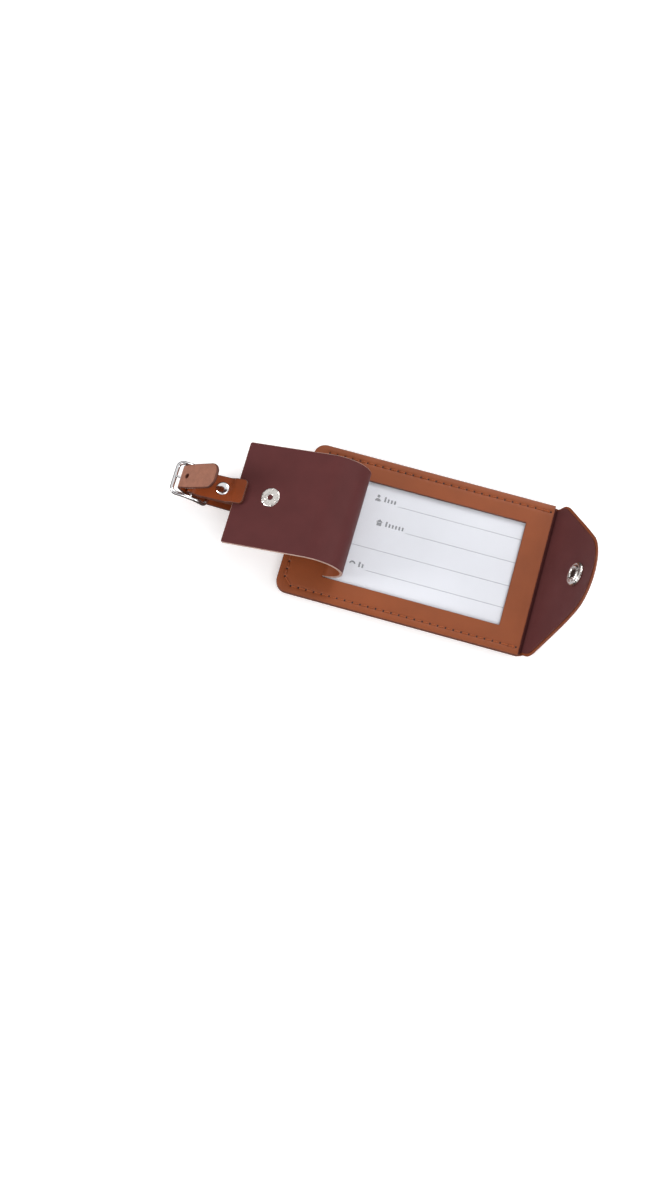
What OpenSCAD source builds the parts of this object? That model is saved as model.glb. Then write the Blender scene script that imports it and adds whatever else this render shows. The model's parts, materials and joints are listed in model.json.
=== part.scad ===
// Leather luggage tag with a lift-up window cover, a snap-down closing flap and a buckled strap.
// Frame: X across the tag, +Y towards the strap, +Z out of the front. The origin is the centre of
// the back face. The tag is drawn open: the closing flap stands up from the fold, the window cover
// is curled back over the strap, and the strap's tail is folded back over its buckle.

/* [Tag body] */
// Width of the tag
body_w = 70; // [60:1:80]
// Length from the fold to the strap end
body_l = 110; // [100:1:125]
// Radius of the two corners at the strap end
corner_r = 5.2; // [3:0.1:8]
// Thickness of an outer leather sheet
leather_t = 0.8; // [0.6:0.1:1]
// Thickness of a back or flap lining
lining_t = 0.4; // [0.3:0.1:0.5]
// Thickness of the front lining at the sewn margins
margin_t = 1.3; // [1.2:0.1:1.6]

/* [Window and card] */
// Width of the window
window_w = 48; // [40:1:50]
// Height of the bar under the window
bar_h = 11; // [9:0.5:14]
// Distance from the strap end to the root of the window cover
cover_root = 18.8; // [17:0.2:22]
// Width of the card pocket
pocket_w = 56; // [52:1:60]
// Height of the card pocket's gap
pocket_t = 0.5; // [0.4:0.05:0.6]
// Width of the name card
card_w = 54; // [50:1:55]
// Length of the name card
card_l = 90; // [80:1:91]
// Thickness of the name card
card_t = 0.25; // [0.2:0.05:0.3]

/* [Window cover] */
// Angle of the crease at the cover's root while the cover is curled back
root_bend = 20; // [18:0.5:21]
// Angle of each further bend
bend_angle = 29.8; // [29.6:0.1:29.8]
// Radius of the curl
curl_r = 12.4; // [12:0.1:12.8]
// Gap between a bend's axis and the sheet on each side
bend_gap = 0.3; // [0.25:0.05:0.35]
// Gap between the cover and the window's edge
cover_gap = 0.3; // [0.2:0.05:0.5]

/* [Closing flap] */
// Height of the flap from the outside of the fold to its tip
flap_h = 45.3; // [40:0.5:50]
// Angle of the flap above the tag's plane while it stands open
flap_open = 62; // [50:1:70]
// Radius of the flap's shoulders
shoulder_r = 10; // [6:0.5:12]
// Radius of the flap's tip
tip_r = 20.7; // [16:0.1:24]
// Angle of the flap's slanted edges to the fold
slant = 56.3; // [54:0.1:58]
// Radius from the fold's axis to the outside of the flap
fold_r = 2.35; // [2.2:0.05:2.6]
// Angle by which the closed flap rises over the snap
snap_tilt = 6; // [5:0.5:8]

/* [Snap fastener] */
// Distance from the outside of the fold to the snap
snap_from_fold = 30.4; // [28:0.2:32]
// Diameter of the cap
cap_d = 10.3; // [9:0.1:12]
// Diameter of the socket
socket_d = 10.9; // [10:0.1:12]
// Height of the socket
socket_h = 2.3; // [2.2:0.1:2.6]
// Diameter of the stud's base and of the rim behind it
stud_d = 8.6; // [8:0.1:9]

/* [Strap] */
// Width of the strap
strap_w = 11.4; // [10:0.2:12]
// Thickness of the strap
strap_t = 1.3; // [1.2:0.05:1.4]
// Width of the strap slot
slot_w = 15; // [14:0.5:16]
// Height of the strap slot
slot_h = 4; // [3.6:0.1:4.4]
// Distance from the strap end of the tag to the slot
slot_inset = 7.2; // [6:0.2:8]
// Slope of the strap down to its buckle
head_tilt = 7; // [5:0.5:9]
// Height of the rivet's middle above the back face
rivet_z = 11.8; // [11.4:0.1:12]
// Distance from the slot to the rivet
rivet_run = 39.9; // [39.8:0.1:40.5]
// Distance from the rivet to the buckle's bar
bar_run = 13.4; // [13:0.1:14]
// Length of the folded-over end that lies on the window cover
lap_l = 5.4; // [4:0.1:6]
// Length of the tail past its fold
tail_l = 24; // [20:0.5:24]
// Angle of the folded-back tail, counted from the strap's outward direction
tail_angle = 137; // [130:1:140]

/* [Buckle] */
// Radius of the frame's wire
wire_r = 0.9; // [0.8:0.05:0.95]
// Outer width of the frame
frame_w = 16; // [15.5:0.5:17]
// Radius of the arch of the frame's rails
arch_r = 15; // [14:0.5:17]
// Half the angle that the rails' arch spans
arch_a = 25; // [23:0.5:26]
// Radius of the frame's corners
frame_corner_r = 2.4; // [2:0.1:2.6]
// Radius of the bar that carries the prong and the strap's fold
bar_r = 0.8; // [0.7:0.05:0.85]
// Angle at which the open frame stands
frame_tilt = 27; // [25:1:28]

/* [Stitching] */
// Distance from the tag's edge to the seam
seam_inset = 3.3; // [3:0.1:3.6]
// Distance from one stitch to the next
stitch_pitch = 3.5; // [3:0.1:4]
// Length of one stitch
stitch_l = 2.3; // [1.8:0.1:2.6]
// Thickness of the thread
thread_d = 0.45; // [0.35:0.05:0.5]

/* [Hidden] */
$fn = 48;
tiny = 0.01;
// heights of the layers over the back face
pocket_z = leather_t + lining_t;
pocket_top = pocket_z + pocket_t;
front_z = pocket_z + margin_t;
top_z = front_z + leather_t;
sheet_t = leather_t + lining_t;
film_t = 0.15;
// places along the tag
fold_y = -body_l / 2;
end_y = body_l / 2;
root_y = end_y - cover_root;
slot_y = end_y - slot_inset;
window_y0 = fold_y + bar_h;
pocket_y1 = root_y + 4.8;
card_y0 = fold_y + 4.8;
// the cover: the crease at its root, the bends half a step and then full steps apart, and the
// length past the last bend
bends = 7;
first_bend = 0.5;
bend_step = 2 * curl_r * tan(bend_angle / 2);
cover_w = window_w - 2 * cover_gap;
cover_mid_z = top_z - sheet_t / 2;
last_bend_y = root_y - first_bend - (bends - 1.5) * bend_step;
cover_free = last_bend_y - window_y0 - cover_gap;
// the fold's axis lies on the line of the fold, and the flap turns round it
fold_z = fold_r;
flap_gap = 0.15;
flap_l = flap_h - fold_r;
lining_off = fold_r - sheet_t;
// the snap, along the tag and along the flap
snap_y = fold_y - fold_r + snap_from_fold;
snap_on_cover = last_bend_y - snap_y;
socket_mouth = socket_h - 0.1;
snap_on_flap = (snap_y - fold_y - (socket_mouth - lining_off) * sin(snap_tilt)) / cos(snap_tilt);
post_d = 3;
post_hole_d = 3.1;
stud_base_t = 0.3;
nub_d = 3.6;
nub_h = 1.55;
socket_hole_d = 4.4;
rim_t = 0.3;
rim_hole_d = 2.4;
cap_h = 1.5;
// the strap: layers face each other with a small gap at the rivet and open round the bar
layer_gap = 0.1;
layer_off = (strap_t + layer_gap) / 2;
wrap_r = bar_r + 0.1 + strap_t / 2;
ease_r = 3;
ease_a = acos((layer_off + ease_r) / (wrap_r + ease_r));
ease_run = (wrap_r + ease_r) * sin(ease_a);
rivet_y = slot_y + rivet_run;
bar_y = rivet_y + bar_run * cos(head_tilt);
bar_z = rivet_z - bar_run * sin(head_tilt);
turn_r = 1.5;
// the front of the strap: up through the slot, round the roll, level along the tag, down to the
// rivet and round the bar
head_run = 12;
level_turn_r = 30;
roll_foot = 1.8;
slot_mid_z = top_z / 2;
roll_low_z = top_z + 0.2 + strap_t / 2;
level_z = rivet_z - layer_off * cos(head_tilt) + head_run * sin(head_tilt)
    + level_turn_r * (1 - cos(head_tilt));
level_y0 = slot_y - turn_r - roll_foot;
level_y1 = rivet_y - layer_off * sin(head_tilt) - head_run * cos(head_tilt)
    - level_turn_r * sin(head_tilt);
roll_r = (level_z - roll_low_z) / 2;
rivet_d = 6;
// past the rivet the folded-over end steps up and lies on the cover, along the cover's slope
cover_tilt = root_bend + (bends - 1) * bend_angle - 180;
lap_from = rivet_d / 2 + 0.05;
lap_r = 1.4;
lap_a = 48;
lap_rise = 1.2;
front_moves = [
    ["go", roll_low_z - turn_r - slot_mid_z],
    ["turn", turn_r, 90],
    ["go", roll_foot],
    ["turn", roll_r, -180],
    ["go", level_y1 - level_y0],
    ["turn", level_turn_r, -head_tilt],
    ["go", head_run + bar_run - ease_run],
    ["turn", ease_r, -ease_a],
    ["turn", wrap_r, 180 + 2 * ease_a],
    ["turn", ease_r, -ease_a],
    ["go", bar_run - ease_run + lap_from],
    ["turn", lap_r, -lap_a],
    ["go", lap_rise],
    ["turn", lap_r, lap_a - (cover_tilt - head_tilt)],
    ["go", lap_l],
];
// the back of the strap: down through the slot, out under the tag and its seam, and up through
// the buckle
under_z = -0.32 - strap_t / 2;
rise_a = 65;
rise_r = 8;
under_a = 3.8;
under_turn_r = 30;
under_run = rivet_run - 1.6;
back_moves = [
    ["go", slot_mid_z - turn_r - under_z],
    ["turn", turn_r, 90],
    ["go", 7],
    ["turn", under_turn_r, under_a],
    ["go", under_run],
    ["turn", rise_r, rise_a - under_a],
    ["go", 8.35],
];
arc_step = 12;
front_path = walk(front_moves, [slot_y, slot_mid_z, 90]);
back_path = walk(back_moves, [slot_y, slot_mid_z, -90]);
tail_at = back_path[len(back_path) - 1];
hinge_gap = 0.7;
prong_slot_w = 3.2;
hole_d = 3;
// the buckle, drawn flat round its bar and then tilted
rail_x = frame_w / 2 - wire_r;
rail_end = [arch_r * sin(arch_a), arch_r * (cos(arch_a) - 1)];
end_bar = rail_end + frame_corner_r * [cos(arch_a), -sin(arch_a)];
bar_end_r = 0.5;
bar_end_l = 2 * rail_x + 0.8;
weld = 0.05;
weld_a = 0.2;
weld_r = wire_r + 0.04;
prong_r = 0.65;
prong_ring_r = 1.65;
prong_ring_w = 2.3;
prong_a = atan((-end_bar[1] - wire_r - prong_r - 0.05) / end_bar[0]);
prong_l = end_bar[0] / cos(prong_a) + 0.4;
// the rivet
rivet_post_d = 2;
rivet_cap_h = 0.95;
layers_half = layer_off + strap_t / 2;

brown = "sienna";
wine = "#5b3333";

// ---- paths ----------------------------------------------------------------------------------

// the place and heading after turning by an angle (left is positive) on a given radius
function turned(s, r, a) = let (k = sign(a) * r)
    [s[0] - k * sin(s[2]) + k * sin(s[2] + a), s[1] + k * cos(s[2]) - k * cos(s[2] + a), s[2] + a];

// every [y, z, heading] along a list of straight runs and turns, from a start
function walk(moves, s, i = 0) = i == len(moves) ? [s]
    : let (m = moves[i])
        m[0] == "go"
            ? concat([s], walk(moves, [s[0] + m[1] * cos(s[2]), s[1] + m[1] * sin(s[2]), s[2]],
                i + 1))
            : let (n = max(1, ceil(abs(m[2]) / arc_step)))
                concat([for (j = [0:n - 1]) turned(s, m[1], m[2] * j / n)],
                    walk(moves, turned(s, m[1], m[2]), i + 1));

// a point beside a place on a path
function beside(s, d) = [s[0] - d * sin(s[2]), s[1] + d * cos(s[2])];

// the outline of a strip of thickness t along a path, without repeated points
function strip(path, t) = let (
    p = [for (i = [0:len(path) - 1])
        if (i == 0 || norm([path[i][0] - path[i - 1][0], path[i][1] - path[i - 1][1]]) > tiny)
            path[i]],
    n = len(p))
    concat([for (s = p) beside(s, t / 2)], [for (i = [0:n - 1]) beside(p[n - 1 - i], -t / 2)]);

// a [y, z] outline drawn across the tag, from -w/2 to w/2
module across(w) {
    rotate([90, 0, 90]) linear_extrude(w, center = true) children();
}

// a sheet of the body's outline between two heights
module body_sheet(z0, z1) {
    translate([0, 0, z0]) linear_extrude(z1 - z0) difference() {
        union() {
            translate([-body_w / 2, fold_y]) square([body_w, body_l - corner_r]);
            translate([-body_w / 2 + corner_r, fold_y]) square([body_w - 2 * corner_r, body_l]);
            for (side = [-1, 1])
                translate([side * (body_w / 2 - corner_r), end_y - corner_r]) circle(corner_r);
        }
        slot_outline();
    }
}

module slot_outline() {
    for (side = [-1, 1])
        translate([side * (slot_w - slot_h) / 2, slot_y]) circle(d = slot_h);
    translate([-(slot_w - slot_h) / 2, slot_y - slot_h / 2]) square([slot_w - slot_h, slot_h]);
}

// the window's opening, from the bar to the root of the cover
module window_cut() {
    translate([-window_w / 2, window_y0, -1])
        cube([window_w, root_y - first_bend + bend_gap - window_y0, top_z + 2]);
}

// ---- body -----------------------------------------------------------------------------------

module back_panel() {
    color(brown) body_sheet(0, leather_t);
}

module back_lining() {
    color(wine) body_sheet(leather_t, pocket_z);
}

module front_lining() {
    color(wine) difference() {
        body_sheet(pocket_z, front_z);
        translate([-pocket_w / 2, fold_y - 1, pocket_z - 1])
            cube([pocket_w, pocket_y1 - fold_y + 1, pocket_t + 1]);
        window_cut();
    }
}

module front_panel() {
    color(brown) difference() {
        body_sheet(front_z, top_z);
        window_cut();
    }
}

module window_film() {
    color("lightcyan", 0.4)
        translate([-pocket_w / 2 + 0.5, window_y0 - 3, pocket_top - film_t])
            cube([pocket_w - 1, pocket_y1 - 1 - window_y0 + 3, film_t]);
}

module name_card() {
    color("white") translate([-card_w / 2, card_y0, pocket_z + 0.05]) cube([card_w, card_l, card_t]);
}

// ---- stitching ------------------------------------------------------------------------------

// one stitch lying along Y
module stitch(length) {
    cube([thread_d, length, thread_d / 2], center = true);
}

// the seam along both sides and round the strap end, at one height
module seam(z) {
    seam_x = body_w / 2 - seam_inset;
    seam_y = end_y - seam_inset;
    side_n = floor((body_l - corner_r - 1) / stitch_pitch);
    top_n = floor((body_w - 2 * seam_inset - 5) / stitch_pitch);
    for (side = [-1, 1]) {
        for (i = [0:side_n - 1])
            translate([side * seam_x, fold_y + 2 + i * stitch_pitch, z]) stitch(stitch_l);
        for (i = [0:1])
            translate([side * (seam_x - 0.5 - 1.5 * i), seam_y - 2 + 1.5 * i, z])
                rotate(side * 45) stitch(1.5);
    }
    for (i = [0:top_n - 1])
        translate([(i - (top_n - 1) / 2) * stitch_pitch, seam_y, z]) rotate(90) stitch(stitch_l);
}

module seam_thread_front() {
    color("chocolate") seam(top_z + thread_d / 4);
}

module seam_thread_back() {
    color("chocolate") seam(-thread_d / 4);
}

// ---- closing flap ---------------------------------------------------------------------------

// the flap's outline over its fold, as half-width against height
function flap_half() = let (
    tip_c = flap_l - tip_r,
    reach = tip_r + tip_c * cos(slant),
    shoulder_y = (reach - shoulder_r - (body_w / 2 - shoulder_r) * sin(slant)) / cos(slant))
    concat([[body_w / 2, flap_gap]],
        [for (a = [0:5:90 - slant])
            [body_w / 2 - shoulder_r + shoulder_r * cos(a), shoulder_y + shoulder_r * sin(a)]],
        [for (a = [90 - slant:4:89]) [tip_r * cos(a), tip_c + tip_r * sin(a)]]);

module flap_outline() {
    half = flap_half();
    n = len(half);
    polygon(concat([for (p = half) [p[0], -p[1]]], [[0, -flap_l]],
        [for (i = [0:n - 1]) [-half[n - 1 - i][0], -half[n - 1 - i][1]]]));
}

// draws its children in the flap's own plane: -Y up the flap, +Z to its lined side
module on_flap() {
    translate([0, fold_y, fold_z]) rotate([-flap_open, 0, 0]) children();
}

module flap_sheet(z0, z1) {
    on_flap() difference() {
        translate([0, 0, z0]) linear_extrude(z1 - z0) flap_outline();
        translate([0, -snap_on_flap, z0 - 1]) cylinder(d = post_hole_d, h = z1 - z0 + 2);
    }
}

module flap_leather() {
    color(brown) flap_sheet(-fold_r, -fold_r + leather_t);
}

module flap_lining() {
    color(wine) flap_sheet(-fold_r + leather_t, -lining_off);
}

module snap_cap() {
    dome_r = (pow(cap_d / 2, 2) + pow(cap_h, 2)) / (2 * cap_h);
    color("silver") on_flap() translate([0, -snap_on_flap, -fold_r]) {
        intersection() {
            translate([0, 0, dome_r - cap_h]) sphere(dome_r, $fn = 96);
            translate([0, 0, -cap_h - 1]) cylinder(d = cap_d + 2, h = cap_h + 1);
        }
        cylinder(d = post_d, h = sheet_t + 0.5);
    }
}

module snap_socket() {
    color("silver") on_flap() translate([0, -snap_on_flap, -lining_off]) rotate_extrude()
        polygon([[post_d / 2 + 0.02, 0], [socket_d / 2, 0], [socket_d / 2, socket_h - 0.6],
            [socket_d / 2 - 0.6, socket_h], [socket_hole_d / 2 + 0.3, socket_h],
            [socket_hole_d / 2, socket_h - 0.3], [socket_hole_d / 2, 0.6], [post_d / 2 + 0.02, 0.6]]);
}

// ---- window cover ---------------------------------------------------------------------------

// the cover's direction past bend k, and its length up to the next bend
function curl_a(k) = root_bend + (k - 1) * bend_angle;
function bend_run(k) = k == 1 ? bend_step / 2 : bend_step;

// where a bend's axis lies while the cover is curled: bend 1 is at the root
function bend_at(k) = k == 1 ? [root_y - first_bend, cover_mid_z]
    : bend_at(k - 1) + bend_run(k - 1) * [-cos(curl_a(k - 1)), sin(curl_a(k - 1))];

// draws its children past bend k: -Y along the cover, +Z to its leather side
module past_bend(k) {
    at = bend_at(k);
    translate([0, at[0], at[1]]) rotate([-curl_a(k), 0, 0]) children();
}

// one stretch of the cover's leather or lining
module cover_strip(k, length, lining) {
    z0 = lining ? -sheet_t / 2 : lining_t - sheet_t / 2;
    t = lining ? lining_t : leather_t;
    past_bend(k) translate([-cover_w / 2, -length, z0]) cube([cover_w, length - bend_gap, t]);
}

module cover_bend_leather(k) {
    color(brown) cover_strip(k, bend_run(k) - bend_gap, false);
}

module cover_bend_lining(k) {
    color(wine) cover_strip(k, bend_run(k) - bend_gap, true);
}

module cover_free_sheet(lining) {
    difference() {
        cover_strip(bends, cover_free, lining);
        past_bend(bends) translate([0, -snap_on_cover, -sheet_t])
            cylinder(d = post_hole_d, h = 2 * sheet_t);
    }
}

module cover_leather_free() {
    color(brown) cover_free_sheet(false);
}

module cover_lining_free() {
    color(wine) cover_free_sheet(true);
}

module snap_stud() {
    color("silver") past_bend(bends) translate([0, -snap_on_cover, sheet_t / 2]) rotate_extrude()
        polygon([[rim_hole_d / 2, 0], [stud_d / 2, 0], [stud_d / 2, stud_base_t],
            [nub_d / 2 - 0.25, stud_base_t], [nub_d / 2 - 0.25, stud_base_t + 0.5],
            [nub_d / 2, stud_base_t + 0.8], [nub_d / 2 - 0.3, stud_base_t + nub_h],
            [rim_hole_d / 2 - 0.4, stud_base_t + nub_h], [rim_hole_d / 2 - 0.4, stud_base_t],
            [rim_hole_d / 2, stud_base_t]]);
}

module snap_stud_rim() {
    color("silver") past_bend(bends) translate([0, -snap_on_cover, -sheet_t / 2]) rotate_extrude()
        polygon([[rim_hole_d / 2, -rim_t], [stud_d / 2 - 0.15, -rim_t], [stud_d / 2, 0],
            [post_d / 2, 0], [post_d / 2, sheet_t], [rim_hole_d / 2, sheet_t]]);
}

// ---- strap ----------------------------------------------------------------------------------

// draws its children at the rivet: +Y towards the buckle, +Z out of the strap
module at_rivet() {
    translate([0, rivet_y, rivet_z]) rotate([-head_tilt, 0, 0]) children();
}

// draws its children at the end of the strap's rising back: +Y up the strap, +Z to its far side
module at_tail(angle) {
    translate([0, tail_at[0], tail_at[1]]) rotate([angle, 0, 0]) children();
}

module strap_loop() {
    back = [for (i = [0:len(back_path) - 1]) let (s = back_path[len(back_path) - 1 - i])
        [s[0], s[1], s[2] + 180]];
    color(brown) difference() {
        across(strap_w) polygon(strip(concat(back, front_path), strap_t));
        at_rivet() cylinder(d = rivet_post_d + 0.1, h = 4 * strap_t, center = true);
        // room for the prong's ring in the fold
        at_rivet() translate([-prong_slot_w / 2, bar_run - 2.6, -3])
            cube([prong_slot_w, 6, 6]);
        // the hole that the prong passes through, and the gap to the tail
        at_tail(rise_a) translate([-hole_d / 2, -6.6, -strap_t])
            cube([hole_d, 7, 2 * strap_t]);
        at_tail(rise_a) translate([-strap_w, -hinge_gap, -strap_t])
            cube([2 * strap_w, 1, 2 * strap_t]);
    }
}

module strap_tail() {
    tip_from = tail_l - strap_w / 2;
    color(brown) at_tail(tail_angle) difference() {
        translate([0, 0, -strap_t / 2]) linear_extrude(strap_t) {
            translate([-strap_w / 2, hinge_gap]) square([strap_w, tip_from - hinge_gap]);
            translate([0, tip_from]) circle(strap_w / 2);
        }
        translate([0, 4.3, -strap_t]) cylinder(d = hole_d, h = 2 * strap_t);
    }
}

// a shallow rivet cap standing on the plane below it
module rivet_cap() {
    dome_r = (pow(rivet_d / 2, 2) + pow(rivet_cap_h, 2)) / (2 * rivet_cap_h);
    intersection() {
        translate([0, 0, rivet_cap_h - dome_r]) sphere(dome_r, $fn = 96);
        cylinder(d = rivet_d + 2, h = rivet_cap_h + 1);
    }
}

module rivet_front_cap() {
    color("silver") at_rivet() translate([0, 0, layers_half]) rivet_cap();
}

module rivet_post() {
    color("silver") at_rivet() {
        translate([0, 0, -layers_half]) mirror([0, 0, 1]) rivet_cap();
        translate([0, 0, -layers_half]) cylinder(d = rivet_post_d, h = 2 * layers_half);
    }
}

// ---- buckle ---------------------------------------------------------------------------------

// draws its children at the buckle's bar, in the plane of the frame
module at_bar() {
    translate([0, bar_y, bar_z]) rotate([frame_tilt, 0, 0]) children();
}

// an arched rail on one side
module rail(side) {
    translate([side * rail_x, 0, -arch_r]) rotate([0, -90, 0]) rotate([0, 0, weld_a - arch_a])
        rotate_extrude(angle = 2 * (arch_a - weld_a)) translate([arch_r, 0]) circle(wire_r);
}

// a corner between a rail and an end bar, with the welds at its ends, where x > 0 and y > 0
module frame_corner() {
    translate([rail_x, rail_end[0], rail_end[1]]) rotate([-arch_a, 0, 0])
        translate([-frame_corner_r, 0, 0]) {
            rotate([0, 0, 1]) rotate_extrude(angle = 88) translate([frame_corner_r, 0])
                circle(wire_r);
            translate([frame_corner_r, 0, 0]) sphere(weld_r);
            translate([0, frame_corner_r, 0]) sphere(weld_r);
        }
}

module buckle_frame() {
    end_l = 2 * (rail_x - frame_corner_r - weld);
    color("silver") at_bar() difference() {
        union() {
            for (side = [-1, 1]) {
                rail(side);
                translate([0, side * end_bar[0], end_bar[1]]) rotate([0, 90, 0])
                    cylinder(r = wire_r, h = end_l, center = true);
            }
            for (mx = [0, 1], my = [0, 1])
                mirror([mx, 0, 0]) mirror([0, my, 0]) frame_corner();
        }
        rotate([0, 90, 0]) cylinder(r = bar_end_r, h = bar_end_l, center = true);
    }
}

module buckle_bar() {
    color("silver") at_bar() rotate([0, 90, 0]) {
        cylinder(r = bar_r, h = 2 * (rail_x - wire_r) - 0.04, center = true);
        cylinder(r = bar_end_r, h = bar_end_l, center = true);
    }
}

module buckle_prong() {
    color("silver") at_bar() difference() {
        union() {
            rotate([0, 90, 0]) cylinder(r = prong_ring_r, h = prong_ring_w, center = true);
            rotate([-90 - prong_a, 0, 0]) cylinder(r = prong_r, h = prong_l);
            rotate([-90 - prong_a, 0, 0]) translate([0, 0, prong_l]) sphere(prong_r);
        }
        rotate([0, 90, 0]) cylinder(r = bar_r + 0.05, h = prong_ring_w + 2, center = true);
    }
}

back_panel();
back_lining();
front_lining();
front_panel();
window_film();
name_card();
seam_thread_front();
seam_thread_back();
flap_leather();
flap_lining();
snap_cap();
snap_socket();
cover_bend_leather(1);  // cover_leather_1
cover_bend_leather(2);  // cover_leather_2
cover_bend_leather(3);  // cover_leather_3
cover_bend_leather(4);  // cover_leather_4
cover_bend_leather(5);  // cover_leather_5
cover_bend_leather(6);  // cover_leather_6
cover_leather_free();
cover_bend_lining(1);  // cover_lining_1
cover_bend_lining(2);  // cover_lining_2
cover_bend_lining(3);  // cover_lining_3
cover_bend_lining(4);  // cover_lining_4
cover_bend_lining(5);  // cover_lining_5
cover_bend_lining(6);  // cover_lining_6
cover_lining_free();
snap_stud();
snap_stud_rim();
strap_loop();
strap_tail();
rivet_front_cap();
rivet_post();
buckle_frame();
buckle_bar();
buckle_prong();
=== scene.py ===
"""Looks of the leather luggage tag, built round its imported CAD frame. Lengths in the shape code are
in millimetres and become metres where a mesh is made."""
import json
import math
from math import ceil, cos, degrees, dist, pi, radians, sin

import bmesh
import bpy
import numpy as np
from mathutils import Matrix, Vector
from mathutils.geometry import delaunay_2d_cdt


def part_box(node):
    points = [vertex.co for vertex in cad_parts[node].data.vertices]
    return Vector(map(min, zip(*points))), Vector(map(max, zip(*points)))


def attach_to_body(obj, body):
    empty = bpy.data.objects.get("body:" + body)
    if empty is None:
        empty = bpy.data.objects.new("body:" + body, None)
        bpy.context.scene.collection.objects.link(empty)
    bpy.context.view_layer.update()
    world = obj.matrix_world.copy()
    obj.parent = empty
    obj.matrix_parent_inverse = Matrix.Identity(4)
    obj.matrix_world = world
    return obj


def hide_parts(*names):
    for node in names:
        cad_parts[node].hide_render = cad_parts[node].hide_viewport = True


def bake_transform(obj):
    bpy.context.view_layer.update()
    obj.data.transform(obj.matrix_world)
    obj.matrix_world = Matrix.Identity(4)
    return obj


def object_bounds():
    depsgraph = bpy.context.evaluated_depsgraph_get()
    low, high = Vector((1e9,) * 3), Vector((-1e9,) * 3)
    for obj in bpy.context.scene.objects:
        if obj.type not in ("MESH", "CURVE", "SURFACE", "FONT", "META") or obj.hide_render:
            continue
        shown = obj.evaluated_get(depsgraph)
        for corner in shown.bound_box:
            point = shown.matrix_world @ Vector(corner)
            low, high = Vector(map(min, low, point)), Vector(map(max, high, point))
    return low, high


MM = 0.001
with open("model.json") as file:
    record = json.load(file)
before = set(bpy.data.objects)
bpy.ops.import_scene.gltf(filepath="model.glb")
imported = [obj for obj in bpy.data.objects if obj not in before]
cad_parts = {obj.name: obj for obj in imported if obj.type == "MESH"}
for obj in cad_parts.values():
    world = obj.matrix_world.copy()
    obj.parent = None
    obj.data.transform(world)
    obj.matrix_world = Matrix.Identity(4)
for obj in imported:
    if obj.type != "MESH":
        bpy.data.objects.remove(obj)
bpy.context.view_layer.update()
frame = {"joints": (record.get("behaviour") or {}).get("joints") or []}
joints = {j["name"]: j for j in frame["joints"]}


def joint_at(name):
    """A joint's place in the Y-Z plane, in mm."""
    p = joints[name]["pos_m"]
    return np.array([p[1], p[2]]) / MM


# ---- sizes, in mm ----
BODY_W, BODY_L, CORNER_R = 70.0, 110.0, 5.2
FOLD_Y, END_Y = -BODY_L / 2, BODY_L / 2
LEATHER_T, LINING_T, TOP_Z = 0.8, 0.4, 3.3
SHEET_T = LEATHER_T + LINING_T
MID_Z = TOP_Z - SHEET_T / 2
LINING_W = BODY_W - 0.16
WINDOW_W, WINDOW_Y0 = 48.0, -44.0
COVER_HALF = WINDOW_W / 2 - 0.3
SLOT_Y, SLOT_W, SLOT_H = 47.8, 15.0, 4.0
SEAM, PITCH, GROOVE = 3.3, 3.5, 0.75
FLAP_L, FOLD_R = 42.95, 2.35
SNAP_ON_FLAP, SNAP_ON_COVER, COVER_FREE = 28.0941, 26.3568, 43.1068
STRAP_W, STRAP_T = 11.4, 1.3
UV_SCALE = 0.1
rng = np.random.default_rng(7)


# ---- materials ----
def srgb(r, g, b):
    """An sRGB colour, 0 to 255, as linear light."""
    return tuple((c / 255 / 12.92) if c / 255 <= 0.04045 else ((c / 255 + 0.055) / 1.055) ** 2.4
                 for c in (r, g, b))


def shade(c, k):
    return tuple(min(1.0, x * k) for x in c)


def add_node(tree, kind, inputs=(), **settings):
    """A new node with its settings and its inputs' constant values."""
    n = tree.nodes.new(kind)
    for k, v in settings.items():
        setattr(n, k, v)
    for k, v in dict(inputs).items():
        n.inputs[k].default_value = v
    return n


def add_ramp(tree, fac, stops):
    """A colour ramp of (position, colour) stops."""
    r = add_node(tree, "ShaderNodeValToRGB")
    e = r.color_ramp.elements
    while len(e) < len(stops):
        e.new(0.5)
    for i, (p, c) in enumerate(stops):
        e[i].position = p
        e[i].color = (*c, 1)
    tree.links.new(fac, r.inputs["Fac"])
    return r.outputs["Color"]


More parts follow.
